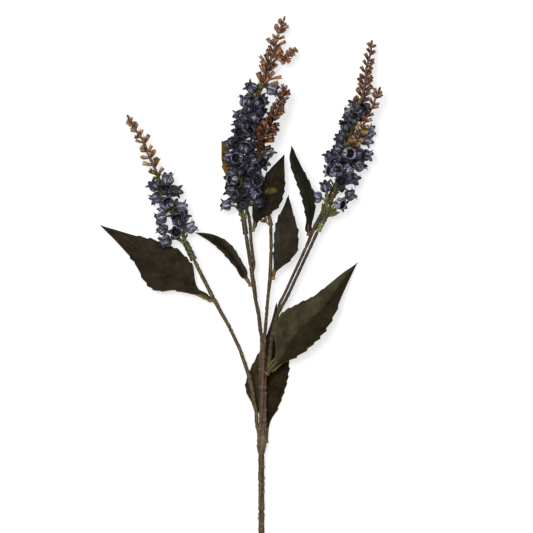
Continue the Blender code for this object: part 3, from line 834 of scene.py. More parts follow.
def sleeve_shape(shape, stations, sizes, look):
    """Mottled sleeve with ragged stepped collars over the branch, and the thin axis above it."""
    run = unit(stations[1, :3] - stations[0, :3])
    start = np.array([*(stations[0, :3] - run * 2.0), stations[0, 3]])
    at, rows = even_steps(np.vstack([start, stations]), 0.6, 1.5)
    sleeve = distances(stations[:, :3])[1] + 2.0
    swell, lower, aside = look
    turn = around(SLEEVE_SIDES)
    ridges = np.abs(np.cos(2 * turn[None] + at[:, None] * 0.05))
    inside = np.clip((sleeve + 1 - at) / 2, 0, 1)[:, None]
    ragged = 0.6 * np.sin(3 * turn) + 0.4 * np.sin(7 * turn + 1)
    collars = np.zeros((len(at), SLEEVE_SIDES))
    for place, width in ((1.4, 1.5), (sleeve * 0.42, 1.0), (sleeve * 0.7, 0.8),
                         (sleeve - 0.5, 1.2)):
        collars += np.exp(-((at[:, None] - place - ragged[None]) / width) ** 4)
    collars *= 0.3 + 0.7 * swell
    radii = (rows[:, 3:] + inside * sizes.sleeve_swell * swell + collars * sizes.collar_height
             + 0.2 * ridges)
    along = np.where(at < sleeve, 0.2 * at / sleeve, 0.2 + 0.8 * (at - sleeve) / (at[-1] - sleeve))
    # painted highlight on the side of the sleeve towards the light
    lit_side = np.clip(np.cos(turn - 0.6) + 0.25, 0, 1)
    painted_highlight_share = np.maximum((at < sleeve * lower)[:, None], aside) * lit_side * inside
    shape.tube(rows[:, :3], radii, SLEEVE_SIDES, along=along, across=0.5 * ridges, tone=painted_highlight_share)
    return at, rows, sleeve


def axis_shape(spike, sizes, buds):
    """Axis of a spike with its sleeve, the bracts at the fork and along it, and its young buds."""
    rng = random.Random(spike)
    shape = Shape()
    at, rows, sleeve = sleeve_shape(shape, tube_stations(spike + "_axis"), sizes, SLEEVES[spike])
    runs, sides, tops = frames_along(rows[:, :3])
    count, length, width, lean = FORK_BRACTS[spike]

    def outward(row, turn):
        """Place just inside the axis's skin, and the direction away from the axis there."""
        spread = spoke(sides, tops, row, turn)
        return rows[row, :3] + spread * rows[row, 3] * 0.7, spread

    for number in range(count):
        row = int(np.searchsorted(at, sleeve - rng.uniform(0.5, 3)))
        place, spread = outward(row, math.pi * number + rng.uniform(-0.6, 0.6))
        way = unit(runs[row] + spread * lean * rng.uniform(0.3, 1.3))
        add_bract(shape, rng, place, way, length * rng.uniform(0.7, 1.1), width, spread * 0.4 + UP)
    spot, number = sleeve + 6, 0
    while spot < at[-1] - 4:
        row = int(np.searchsorted(at, spot))
        place, spread = outward(row, GOLDEN_TURN * number)
        add_bract(shape, rng, place, unit(runs[row] + spread * 0.6), rng.uniform(8, 12),
                  rng.uniform(2.0, 3.0), spread + UP * 0.5, OWN)
        spot += sizes.bract_gap * rng.uniform(0.7, 1.3)
        number += 1
    for number in range(YOUNG_BUDS[spike][0]):
        row = int(np.searchsorted(at, at[-1] - rng.uniform(0, 22)))
        place, spread = outward(row, GOLDEN_TURN * number + 1)
        way = unit(spread + runs[row] * rng.uniform(0.7, 1.3))
        shape.add_copy(rng.choice(buds), turned_to(way, any_turn(rng)), place,
                       rng.uniform(0.75, 1.1), finish=SECOND)
    if spike == "front_spike":
        add_side_buds(shape, rows[0, :3], runs[0], sides[0], buds)
    return shape


def add_side_buds(shape, start, run, side, buds):
    """Short curved twig with a pair of copper buds, which leaves the branch under the sleeve."""
    knots = [start - run * 1 - side * 0.5, start + run * 3 - side * 3, start + run * 8 - side * 6.5]
    path = smooth_through(np.linspace(0, 2, 8), (0, 1, 2), np.array(knots))
    shape.tube(path, np.linspace(1.4, 1.0, 8), 8, along=0.35, finish=SECOND)
    for lean in (-1.1, 0.3):
        shape.add_copy(buds[1], turned_to(unit(run + side * lean), lean), path[-1] - run * 2.5,
                       0.85, finish=THIRD)


class BELLFLOWER_OT_axes(bpy.types.Operator):
    """Green axes of the five spikes with their bracts and young buds"""
    bl_idname = "bellflower.axes"
    bl_label = "Spike axes"

    def execute(self, context):
        rng = random.Random("young")
        # the second of them is closed
        buds = [bud_shape(9.0, 2.7, number != 1, rng) for number in range(4)]
        copper = lacquered_bud_polyethylene("copper_lacquered_side_bud", *COPPER)
        for spike in SPIKES:
            fleshy = fleshy_green_polyethylene("fleshy_young_bud_" + spike, "#343710", "#5a5a26",
                                               YOUNG_BUDS[spike][1])
            finish = mottled_green_polyethylene("mottled_green_" + spike, *AXIS_COLOURS[spike])
            shape = axis_shape(spike, context.scene.bellflower_axes, buds)
            finishes = [finish, fleshy, copper] if spike == "front_spike" else [finish, fleshy]
            make_piece(spike + "_rachis", shape, finishes, spike + "_axis")
        return {"FINISHED"}


# ---------------------------------------------------------------- bells

class BellSizes(bpy.types.PropertyGroup):
    belly_radius: FloatProperty(name="Belly radius", default=7.2, min=4, max=9,
                                description="Widest radius of a bell's body, in mm")
    tooth_length: FloatProperty(name="Tooth length", default=4.6, min=1, max=7,
                                description="Length of a tooth from the mouth to its point, in mm")
    crinkle_depth: FloatProperty(name="Crinkle depth", default=0.5, min=0, max=1,
                                 description="Depth of the crinkles in a bell's skin, in mm")
    wall: FloatProperty(name="Wall", default=0.6, min=0.2, max=1,
                        description="Thickness of a bell's wall, in mm")
    # The groove colour is also painted over the throat as its shade
    groove_colour: FloatVectorProperty(name="Groove", subtype="COLOR", default=linear("#1b1a24"),
                                       description="Colour of the grooves between the crinkles")
    body_colour: FloatVectorProperty(name="Body", subtype="COLOR", default=linear("#3a3947"),
                                     description="Colour of a bell's body")
    frost_colour: FloatVectorProperty(name="Frost", subtype="COLOR", default=linear("#aba9be"),
                                      description="Colour of the paint on the crinkles' tops")
    tooth_colour: FloatVectorProperty(name="Tooth", subtype="COLOR", default=linear("#191823"),
                                      description="Colour of the teeth round the mouth")


# Outline of a bell's body: share of its length from the calyx, share of its belly radius
BELL_OUTLINE = ((0, 0.14), (0.03, 0.46), (0.09, 0.71), (0.19, 0.91), (0.32, 1.0), (0.47, 0.99),
                (0.6, 0.91), (0.69, 0.83), (0.75, 0.81), (0.79, 0.87))
RIM_SHARE = BELL_OUTLINE[-1][0]
BELL_SHAPE_LENGTH = 13.6    # from the calyx to the mouth of a closed bell, in mm
BELL_BODY = 5.5             # from the calyx to the middle of a bell's body, in mm
# Stalks that start at the fork on top of a sleeve: how near it in mm their bells are, and radius
FORKS = {"left_spike": (30, 1.6), "centre_spike": (27, 1.4), "front_spike": (12, 1.0),
         "right_spike": (35, 1.3), "right_side_spike": (12, 1.0)}
# Bells that fill gaps: least distance in mm between the middle of one and the next bell, the
# stretch of the axis that has them, and how far they may lean to the right, where 1 is square to
# the axis; then how much more paint all bells of the spike have
BELL_LOOKS = {"left_spike": (12.0, 0.35, 1.0, 1.0, 0.06),
              "centre_spike": (9.5, 0.0, 0.9, 1.0, -0.05),
              "front_spike": (10.3, 0.0, 1.0, 0.5, -0.03),
              "right_spike": (10.2, 0.4, 1.0, 1.0, 0.08),
              "right_side_spike": (12.0, 0.0, 1.0, 1.0, 0.05)}
LOWEST_BELL = 7.0           # from the floor to the middle of a bell that fills a gap, in mm
COLUMNS = 48                # points round a bell, less what doesn't divide by its teeth


def bell_radius(share, sizes):
    """Radius of a bell's body at a share of its length."""
    knots, widths = np.array(BELL_OUTLINE).T
    return smooth_through(np.asarray(share, float), knots, widths) * sizes.belly_radius


def crinkles(rng, shares, turn, teeth):
    """Relief of a bell's skin, about -1 in its grooves to 1 on its ridges."""
    relief = -0.4 * np.cos(teeth * turn) * np.ones((len(shares), 1))
    for waves in (teeth + 3, 2 * teeth - 1, 2 * teeth + 2, 2 * teeth + 4):
        wander = rng.uniform(0.5, 1.5) * np.sin(shares * rng.uniform(5, 12) + rng.uniform(0, 6))
        fade = 0.5 + 0.5 * np.sin(shares * rng.uniform(9, 20) + rng.uniform(0, 6))
        relief += 0.5 * fade * np.sin(waves * turn + wander + any_turn(rng))
    return np.clip(relief, -1, 1)


def add_teeth(shape, rng, sizes, rim, rim_radius, teeth, openness):
    """Thick pointed recurved teeth on the rim; rim holds the outer and the inner ring's numbers."""
    # places along a tooth, and how wide it is there as a share of its foot
    steps = np.array((0.2, 0.42, 0.64, 0.84, 1.0))
    narrow = np.array((0.9, 0.66, 0.42, 0.22, 0.05))
    columns = len(rim[0]) // teeth
    spread = np.linspace(-1, 1, columns + 1)[None]
    for tooth in range(teeth):
        length = sizes.tooth_length * rng.uniform(0.75, 1.12)
        lean = np.radians(openness * (18 + 66 * steps))
        parts = np.diff(steps, prepend=0) * length
        out = rim_radius + np.cumsum(np.sin(lean) * parts)
        high = RIM_SHARE * BELL_SHAPE_LENGTH + np.cumsum(np.cos(lean) * parts)
        sway = rng.uniform(-0.12, 0.12) * steps ** 2
        middle = FULL_TURN * (tooth + 0.5) / teeth + sway
        turn = middle[:, None] + spread * narrow[:, None] * math.pi / teeth
        keel = 0.35 * (1 - np.abs(spread)) * narrow[:, None]
        wall = (sizes.wall * (1.15 - 0.7 * steps))[:, None]
        outer = round_points(out[:, None] + keel, high[:, None], turn)
        inner = round_points(out[:, None] + keel - wall * np.cos(lean)[:, None],
                             high[:, None] + wall * np.sin(lean)[:, None], turn)
        numbers = np.arange(tooth * columns, (tooth + 1) * columns + 1) % len(rim[0])
        grids = []
        for ring, points, frost in ((rim[0], outer, 0.25), (rim[1], inner, -0.25)):
            relief = frost + 0.45 * spread ** 2 - 0.8 * steps[:, None]
            fresh = shape.add_points(points, 0.85 + 0.15 * steps[:, None], relief)
            grids.append(np.vstack([ring[numbers][None], fresh]))
            shape.skin(grids[-1])
        for edge in (0, -1):
            shape.skin(np.stack([grids[0][:, edge], grids[1][:, edge]]))
        shape.skin(np.stack([grids[0][-1], grids[1][-1]]))


def add_stamens(shape, rng, floor_height):
    """Style with a knob and five anthers deep inside the throat."""
    heights = np.array((0, 1.5, 3.4, 4.6, 5.2, 5.6)) + floor_height
    style = np.stack([np.zeros(6), np.zeros(6), heights], axis=1)
    shape.tube(style, (0.4, 0.4, 0.45, 0.85, 0.8, 0.2), 8, along=heights / BELL_SHAPE_LENGTH,
               finish=THIRD)
    for number in range(5):
        turn = FULL_TURN * (number + rng.uniform(0, 0.4)) / 5
        heights = np.array((0, 1.8, 2.4, 3.6, 4.1)) + floor_height
        out = np.array((1.0, 1.6, 1.7, 1.8, 1.8))
        path = round_points(out, heights, turn)
        shape.tube(path, (0.25, 0.25, 0.6, 0.55, 0.15), 6, along=heights / BELL_SHAPE_LENGTH,
                   finish=THIRD)


def add_calyx(shape, rng, sizes):
    """Green receptacle and five short narrow sepals round the foot of a bell."""
    heights = np.array((-1.4, -0.7, 0.1, 0.5))
    cup = np.stack([np.zeros(4), np.zeros(4), heights], axis=1)
    shape.tube(cup, (0.9, 1.5, 1.9, 1.2), 10, along=0.25, finish=SECOND)
    shares = np.array((0.02, 0.06, 0.12, 0.18, 0.23))
    for number in range(5):
        turn = FULL_TURN * (number + rng.uniform(-0.15, 0.15)) / 5
        lift = np.array((0.1, 0.3, 0.4, 0.6, 1.0)) * rng.uniform(0.8, 1.5)
        out = bell_radius(shares, sizes) + lift
        half = np.array((0.8, 0.9, 0.8, 0.5, 0.08)) / out
        turns = turn + half[:, None] * np.array((-1, 0, 1))[None]
        points = round_points(out[:, None], (shares * BELL_SHAPE_LENGTH)[:, None], turns)
        shape.sheet(points, 0.35, along=shares[:, None] * 1.5, finish=SECOND)


def bell_shape(rng, sizes, teeth):
    """One bell along +Z with its calyx at the origin: crinkled urn, toothed mouth, open throat."""
    shape = Shape()
    columns = COLUMNS // teeth * teeth
    turn = around(columns)
    shares = np.append(np.linspace(0, 0.1, 3), np.linspace(0.18, RIM_SHARE, 9))
    relief = crinkles(rng, shares[:, None], turn, teeth)
    belly = np.sin(np.pi * np.clip(shares / (RIM_SHARE + 0.08), 0, 1))[:, None]
    dents = sum(rng.uniform(-0.03, 0.03) * np.cos(k * turn + rng.uniform(0, 6)) for k in (1, 2, 3))
    radius = (bell_radius(shares, sizes)[:, None] * (1 + dents * belly)
              + relief * belly * sizes.crinkle_depth * 0.5)
    outer = shape.add_points(round_points(radius, (shares * BELL_SHAPE_LENGTH)[:, None], turn),
                             shares[:, None], relief * (0.25 + 0.75 * belly))
    shape.skin(outer, closed=True)
    shape.cap(outer[0])
    # the throat narrows faster than the outside, and its skin is painted dark with the groove colour
    # as painted shade
    deep = np.array((1.0, 0.93, 0.8, 0.62, 0.42)) * RIM_SHARE
    hollow = bell_radius(deep, sizes) - sizes.wall * np.array((1, 1.2, 1.4, 2.0, 4))
    throat_shade = np.array((0.2, -0.8, -1.4, -1.4, -1.4))
    inner = shape.add_points(
        round_points(hollow[:, None], (deep * BELL_SHAPE_LENGTH)[:, None], turn),
        deep[:, None] * 0.3, throat_shade[:, None])
    shape.skin(inner, closed=True)
    shape.cap(inner[-1])
    add_teeth(shape, rng, sizes, (outer[-1], inner[0]), radius[-1].mean(), teeth,
              rng.uniform(0.55, 1.0))
    add_stamens(shape, rng, deep[-1] * BELL_SHAPE_LENGTH)
    add_calyx(shape, rng, sizes)
    return shape


def bend(start, start_way, end, end_way):
    """Points of a smooth stalk that leaves along one direction and arrives along another."""
    reach = np.linalg.norm(end - start) * 0.4
    t = np.linspace(0, 1, 9)[:, None]
    a, b, c, d = start, start + start_way * reach, end - end_way * reach, end
    return (1 - t) ** 3 * a + 3 * (1 - t) ** 2 * t * b + 3 * (1 - t) * t ** 2 * c + t ** 3 * d


def stalk_foot(node, faces):
    """Place where the stalk of a CAD flower node starts on its axis, and the stalk's direction."""
    for radius, centre, inward in faces:
        if radius < SHARED_FOOT_RADIUS + 0.05:
            return centre, -inward
    # a bell's own stalk cuts this foot, so it is the place nearest to the spike's axis
    axis = tube_stations(node.split("_flowers")[0] + "_axis")
    line = even_steps(axis, 0.5, 0.5)[1][:, :3]
    points, _ = welded(node)
    apart = np.linalg.norm(points[:, None] - line[None], axis=2)
    near = np.argsort(apart.min(axis=1))[:6]
    foot = points[near].mean(axis=0)
    return foot, unit(foot - line[np.linalg.norm(line - foot, axis=1).argmin()])


def cad_flowers(node):
    """Foot, direction and (calyx, direction) of each bell of a CAD flower node."""
    faces = octagons(node)
    bells = [(centre + way * (BELL_FLOOR_DEPTH - BELL_LENGTH), way)
             for radius, centre, way in faces if abs(radius - BELL_FLOOR_RADIUS) < 0.05]
    if not bells:
        raise RuntimeError(f"{node} has no bells")
    return (*stalk_foot(node, faces), bells)


def filler_bells(spike, flowers):
    """Foot, calyx and direction of more bells, in the gaps that the CAD bells of a spike leave."""
    rng = random.Random(spike)
    _, rows = even_steps(tube_stations(spike + "_axis"), 1.0, 4.0)
    path = rows[:, :3]
    runs, sides, tops = frames_along(path)
    bodies = [calyx + way * BELL_BODY for _, _, bells in flowers.values() for calyx, way in bells]
    # every ninth corner of the tips is enough to keep clear of them
    bodies.extend(np.vstack([welded(tip)[0][::9] for tip in TIPS]))
    feet = [np.linalg.norm(path - foot, axis=1).argmin() for foot, _, _ in flowers.values()]
    found = []
    gap, first, last, lean, _ = BELL_LOOKS[spike]
    rows_used = range(max(min(feet), int(first * len(path))),
                      min(max(feet) + 5, int(last * len(path)) - 1))
    for number, row in enumerate(rows_used):
        turn = GOLDEN_TURN * number + rng.uniform(-0.3, 0.3)
        spread = spoke(sides, tops, row, turn)
        way = unit(spread + runs[row] * rng.uniform(0.3, 1.2))
        calyx = path[row] + spread * (rows[row, 3] + rng.uniform(3.5, 5.0)) + runs[row] * 3
        body = calyx + way * BELL_BODY
        apart = min(np.linalg.norm(body - other) for other in bodies)
        if apart > gap and spread[0] <= lean and body[2] > FLOOR_HEIGHT + LOWEST_BELL:
            bodies.append(body)
            found.append((path[row] + spread * rows[row, 3] * 0.6, calyx, way))
    return found


def add_bell(shape, rng, bells, start, out, calyx, way, scale, paint, thick=1.0, along=0.3):
    """One bell on its stalk, which may have small bracts under the calyx."""
    path = bend(start, out, calyx, way)
    radii = thick + 0.3 * np.linspace(-1, 1, len(path)) ** 2
    shape.tube(path, radii, 8, along=along, finish=SECOND)
    for number in range(rng.randint(0, 2)):
        add_bract(shape, rng, path[-3 - number], way, rng.uniform(2.0, 3.2), 0.5)
    shape.add_copy(rng.choice(bells), turned_to(way, any_turn(rng)), calyx,
                   scale * rng.uniform(0.95, 1.06), paint + rng.uniform(-0.25, 0.25),
                   rng.uniform(0, 60))


def flowers_shape(node, flowers, fork, fillers, bells, paint):
    """Bells of one CAD node where the CAD ones are, and the bells that fill gaps beside them.

    Stalks that leave the axis just above its sleeve start at the fork on top of the sleeve.
    """
    rng = random.Random(node)
    foot, out, places = flowers
    shape = Shape()
    top, run, reach, thick = fork
    start, leave = foot - out * 0.6, out
    high = [place for place in places if np.linalg.norm(place[0] - top) > reach]
    if len(high) > 1:
        shared = foot + out * SHARED_STALK_LENGTH
        path = bend(start, leave, shared + out, out)
        shape.tube(path, np.linspace(1.6, 1.1, len(path)), 10, along=0.25, finish=SECOND)
        start, leave = shared, out
    add_bract(shape, rng, foot, out, rng.uniform(5.0, 8.0), rng.uniform(1.3, 2.1))
    for calyx, way in places:
        if np.linalg.norm(calyx - top) > reach:
            add_bell(shape, rng, bells, start, leave, calyx, way, 1.0, paint)
        else:
            low = top - run * 3.5
            rise = unit(unit(calyx - low) + run * 0.4)
            add_bell(shape, rng, bells, low, rise, calyx, way, 1.0, paint, thick, 0.42)
    for base, calyx, way in fillers:
        add_bell(shape, rng, bells, base, unit(calyx - base), calyx, way, 0.93, paint)
    return shape


class BELLFLOWER_OT_bells(bpy.types.Operator):
    """Bells of the five spikes with their stalks"""
    bl_idname = "bellflower.bells"
    bl_label = "Bells"

    def execute(self, context):
        sizes = context.scene.bellflower_bells
        bells = [bell_shape(random.Random(number), sizes, 5 + number % 2) for number in range(8)]
        finishes = [
            frosted_bell_polyethylene(sizes),
            fleshy_green_polyethylene("fleshy_green_stalk", "#2f3818", "#506028", "#74823f"),
            fleshy_green_polyethylene("fleshy_olive_stamen", "#121209", "#24220f", "#453b1c"),
        ]
        for spike in SPIKES:
            nodes = sorted(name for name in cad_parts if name.startswith(spike + "_flowers"))
            flowers = {node: cad_flowers(node) for node in nodes}
            fillers = {node: [] for node in nodes}
            for filler in filler_bells(spike, flowers):
                nearest = min(nodes, key=lambda node: np.linalg.norm(flowers[node][0] - filler[0]))
                fillers[nearest].append(filler)
            stations = tube_stations(spike + "_axis")[:, :3]
            fork = stations[1], unit(stations[1] - stations[0]), *FORKS[spike]
            for node in nodes:
                shape = flowers_shape(node, flowers[node], fork, fillers[node], bells,
                                      BELL_LOOKS[spike][-1])
                make_piece(node + "_bells", shape, finishes, node)
        return {"FINISHED"}


# ---------------------------------------------------------------- budded tips

class BudSizes(bpy.types.PropertyGroup):
    bud_radius: FloatProperty(name="Bud radius", default=2.7, min=1, max=4,
                              description="Widest radius of a tip's first buds, in mm")
    axis_radius: FloatProperty(name="Axis radius", default=1.9, min=0.5, max=3,
                               description="Radius of a tip's axis at its foot, in mm")


# The top colours are also the painted highlight on the buds' flat sides
COPPER = ("#2a1508", "#613419", "#b68050")      # foot, side and top of a bud
OLIVE_TAN = ("#291c09", "#6a4c20", "#b8905a")
# Each tip: length of its first and of its last buds in mm, buds in its first and in its last
# whorl, distances between its first and between its last whorls in mm, shift towards paler
# lacquer, share of its buds that are olive tan, and shares of its length with plump buds and
# without buds
BUD_LOOKS = {"left_tip": (14.5, 7.0, 3, 4, 12.0, 6.5, 0.04, 0.75, 0.0, 0.0),
             "centre_tip": (19.5, 6.5, 5, 3, 10.5, 6.0, -0.03, 0.2, 0.0, 0.0),
             "front_tip": (16.0, 7.0, 8, 4, 8.0, 6.0, -0.18, 0.0, 0.0, 0.0),
             "right_tip": (13.0, 7.0, 4, 2, 8.0, 7.0, -0.15, 0.1, 0.0, 0.0),
             "right_side_tip": (12.0, 7.5, 3, 2, 8.5, 7.5, -0.05, 0.1, 0.45, 0.0)}
TWIG_SPREAD = 18            # mm from the axis of a tip's furthest bud, if the tip has a side twig
AXIS_SPREAD = 13            # mm from the axis of the buds on the axis itself
TWIG_START = 38             # mm from the foot of the axis to the fork of its side twig
SIDE_TWIG_LOOK = (9.0, 7.0, 4, 4, 6.0, 5.0, 0.0, 0.1, 0.0, 0.2)


def add_budded_axis(shape, rng, sizes, knots, look):
    """Axis through knots with whorls of buds that get smaller and closer towards its end."""
    first, last, many, few, gap, end_gap, tone, tan, plump, bare = look
    far = distances(knots)
    at = np.linspace(0, far[-1], max(int(far[-1]), 8))
    path = smooth_through(at, far, knots)
    path += 0.5 * np.sin(at / 6.5 + rng.uniform(0, 6))[:, None] * frames_along(path)[1]
    radii = sizes.axis_radius * (1 - 0.35 * at / far[-1]) * (1 + 0.12 * np.sin(at * 1.3))
    shape.tube(path, radii, 10, along=0.32)
    runs, sides, tops = frames_along(path)
    place = 1.5 + bare * far[-1]
    lowest = FLOOR_HEIGHT + 2.0
    while place < far[-1] - 1:
        share = place / far[-1]
        count = round(many + (few - many) * share + rng.uniform(-0.6, 0.6))
        size = rng.uniform(0.78, 1.12)
        for number in range(count):
            spot = np.clip(place + rng.uniform(-0.2, 0.2) * gap, 0, far[-1])
            row = int(np.searchsorted(at, spot, side="right")) - 1
            length = (first + (last - first) * share) * size * rng.uniform(0.85, 1.1)
            # a pair that spreads sideways, then the others anywhere round the axis
            turn = number * math.pi + rng.uniform(-0.6, 0.6) if number < 2 else rng.uniform(0, 6.3)
            spread = spoke(sides, tops, row, turn)
            way = unit(spread + runs[row] * rng.uniform(0.6, 1.3))
            # its end stays over the floor
            way[2] = max(way[2], (lowest - path[row, 2]) / length)
            radius = sizes.bud_radius * (1 - 0.2 * share) * rng.uniform(0.85, 1.1)
            is_open, pale = rng.random() < 0.97 - 0.4 * share, rng.uniform(-0.16, 0.16)
            finish = SECOND if rng.random() < tan else OWN
            if share < plump and rng.random() < 0.9:
                is_open, finish = False, SECOND
                length, radius = rng.uniform(9.0, 11.5), sizes.bud_radius * rng.uniform(1.1, 1.3)
                way[2] = abs(way[2])
            bud = bud_shape(length, radius, is_open, rng)
            shape.add_copy(bud, turned_to(unit(way), any_turn(rng)),
                           path[row] + spread * 0.5, tone=tone + pale, finish=finish)
        place += (gap + (end_gap - gap) * share) * rng.uniform(0.85, 1.15)
    bud = bud_shape(7.5, 1.7, False, rng)
    shape.add_copy(bud, turned_to(runs[-1], 0), path[-1] - runs[-1] * 3, tone=tone - 0.3)


def sliced_middle(points, start, end, count):
    """Knots from start to end through the middle of the points in slices between them."""
    way = end - start
    share = (points - start) @ way / way.dot(way)
    knots = [start]
    for k in range(1, count):
        near = points[np.abs(share - k / count) < 0.5 / count]
        on_line = start + way * k / count
        middle = near.mean(axis=0) if len(near) else on_line
        knots.append(on_line + (middle - on_line) * 0.8)
    return np.array([*knots, end])


def tip_shape(node, sizes):
    """Budded tip along the CAD one, with a side twig where that has one."""
    rng = random.Random(node)
    points, _ = welded(node)
    start = points[np.argsort(points[:, 1])[:6]].mean(axis=0)
    end = points[points[:, 1].argmax()]
    shape = Shape()
    way = unit(end - start)
    end = end - way * 4
    aside = np.linalg.norm(np.cross(points - start, way), axis=1)
    main = points[aside < AXIS_SPREAD]
    add_budded_axis(shape, rng, sizes, sliced_middle(main, start, end, 5), BUD_LOOKS[node])
    if aside.max() > TWIG_SPREAD:
        far_end = points[aside.argmax()]
        fork = start + way * TWIG_START
        knots = [fork + (far_end - fork) * share + way * rise
                 for share, rise in ((0, 0), (0.28, 0), (0.6, -5), (0.9, 4))]
        add_budded_axis(shape, rng, sizes, np.array(knots), SIDE_TWIG_LOOK)
    return shape


class BELLFLOWER_OT_tips(bpy.types.Operator):
    """Copper budded tips of the spikes"""
    bl_idname = "bellflower.tips"
    bl_label = "Budded tips"

    def execute(self, context):
        sizes = context.scene.bellflower_buds
        copper = lacquered_bud_polyethylene("copper_lacquered_bud", *COPPER)
        tan = lacquered_bud_polyethylene("olive_tan_lacquered_bud", *OLIVE_TAN)
        for node in TIPS:
            make_piece(node + "_buds", tip_shape(node, sizes), [copper, tan], node)
        return {"FINISHED"}


# ---------------------------------------------------------------- leaves

class LeafSizes(bpy.types.PropertyGroup):
    thickness: FloatProperty(name="Thickness", default=0.45, min=0.1, max=1,
                             description="Thickness of the pressed fabric, in mm")
    tooth_depth: FloatProperty(name="Tooth depth", default=2.5, min=0, max=5,
                               description="Depth of the teeth on a leaf's margin, in mm")
    tooth_length: FloatProperty(name="Tooth length", default=12.0, min=4, max=20,
                                description="Distance from one margin tooth to the next, in mm")


# Left and right halves differ in tone as a painted sheen of the satin
LEAF_LOOKS = {   # left half, right half, petiole, collar, slot
    "left_leaf": ("#2b231b", "#2e281e", "#4a3519", "#8f774a", "leaf"),
    # centre_left_leaf is coloured paler to make up for the shade of its fold and tilt: painted light
    "centre_left_leaf": ("#3b3226", "#464136", "#7a5a1e", "#946e3a", "leaf"),
    "centre_leaf": ("#272118", "#231d14", "#5f5a2c", "#77713c", "leaf"),
    "back_leaf": ("#6a501d", "#5c451a", "#34301a", "#34301a", "leaf_ochre"),
    "centre_right_leaf": ("#31312a", "#2e271d", "#6b5426", "#9c7c4c", "leaf"),
    "right_upper_leaf": ("#23241a", "#1b1a11", "#3a2a14", "#8a531c", "leaf"),
    "right_leaf": ("#413c2a", "#272114", "#4a3725", "#7b5d3c", "leaf"),
    "lower_leaf": ("#3a3120", "#261f12", "#4f4a22", "#6b6030", "leaf"),
}
SERRATED = (0.15, 0.66)     # stretch of the length that has teeth
FOLD = 0.05                 # share of the half width over which the midrib's fold is rounded
# Least half width of each blade next to its petiole, in mm
BASE_WIDTHS = {"left_leaf": 4.2, "centre_left_leaf": 2.5, "centre_leaf": 2.8,
               "centre_right_leaf": 2.3, "right_upper_leaf": 4.2, "right_leaf": 6.0}
# Share of the length at which a blade starts, where the petiole is long
BLADE_STARTS = {"left_leaf": 0.0, "back_leaf": 0.28}
# Strength of the ochre on the left and on the right edge near the petiole, where it isn't 0.75
OCHRE_EDGES = {"left_leaf": (1.0, 0.1), "centre_left_leaf": (1.0, 0.2), "centre_leaf": (0.2, 0.2),
               "right_upper_leaf": (0.1, 0.1)}
# Share of the length over which a broad ochre foot ends, where that is sudden
FOOT_FADES = {"left_leaf": 0.03, "centre_left_leaf": 0.03}
# How thick a petiole is, where it isn't 1
PETIOLES = {"left_leaf": 0.7, "right_upper_leaf": 1.2, "right_leaf": 1.6}
# How far the outer part of a leaf bends to its right, in mm
BENDS = {"centre_left_leaf": 5.0, "back_leaf": -2.5}
# Change of a leaf's width at its foot and at its tip
WIDENING = {"centre_left_leaf": (0.65, 1.45)}


def margin_teeth(shares, length, rng, sizes):
    """Outward offset of a margin: teeth with a long rise and a steep front, uneven in size."""
    offset = np.zeros(len(shares))
    place = SERRATED[0] + rng.uniform(0, 0.05)
    while place < SERRATED[1]:
        span = sizes.tooth_length * rng.uniform(0.7, 1.4) / length
        inside = (shares - place) / span
        tooth = np.where((inside > 0) & (inside < 1), np.clip(inside, 0, 1) ** 1.3, 0)
        tooth *= np.clip((1 - inside) / 0.16, 0, 1)
        offset += tooth * sizes.tooth_depth * rng.uniform(0.55, 1.25)
        place += span
    return offset


def leaf_stain(node, along, across):
    """Share of ochre at each point: the margins near the petiole, and a patch on one leaf."""
    out = np.abs(across)
    inner = 0.93 - 0.6 * np.clip((0.13 - along) / FOOT_FADES.get(node, 0.12), 0, 1)
    edge = np.clip((out - inner) / 0.05, 0, 1) * np.clip((0.42 - along) / 0.12, 0, 1)
    edge *= np.interp(across, (-0.1, 0.1), OCHRE_EDGES.get(node, (0.75, 0.75)))
    dapple = np.sin(along * 61 + 3 * across) * np.sin(across * 17 + 5 * along)
    flecks = 0.12 * np.clip(dapple - 0.55, 0, 1)
    patch = 0
    if node == "centre_leaf":
        ragged = 0.008 * np.sin(across * 26) + 0.005 * np.sin(across * 57 + 1)
        high = 0.05 * np.sqrt(np.clip(1 - (across - 0.06) ** 2 / 0.25, 0, 1))
        patch = np.clip((high - np.abs(along - 0.52 - 0.06 * across - ragged)) / 0.02, 0, 1)
        patch *= np.clip((out - 0.03) / 0.08, 0.3, 1) * 0.55
    return np.clip(edge + flecks + patch, 0, 1)


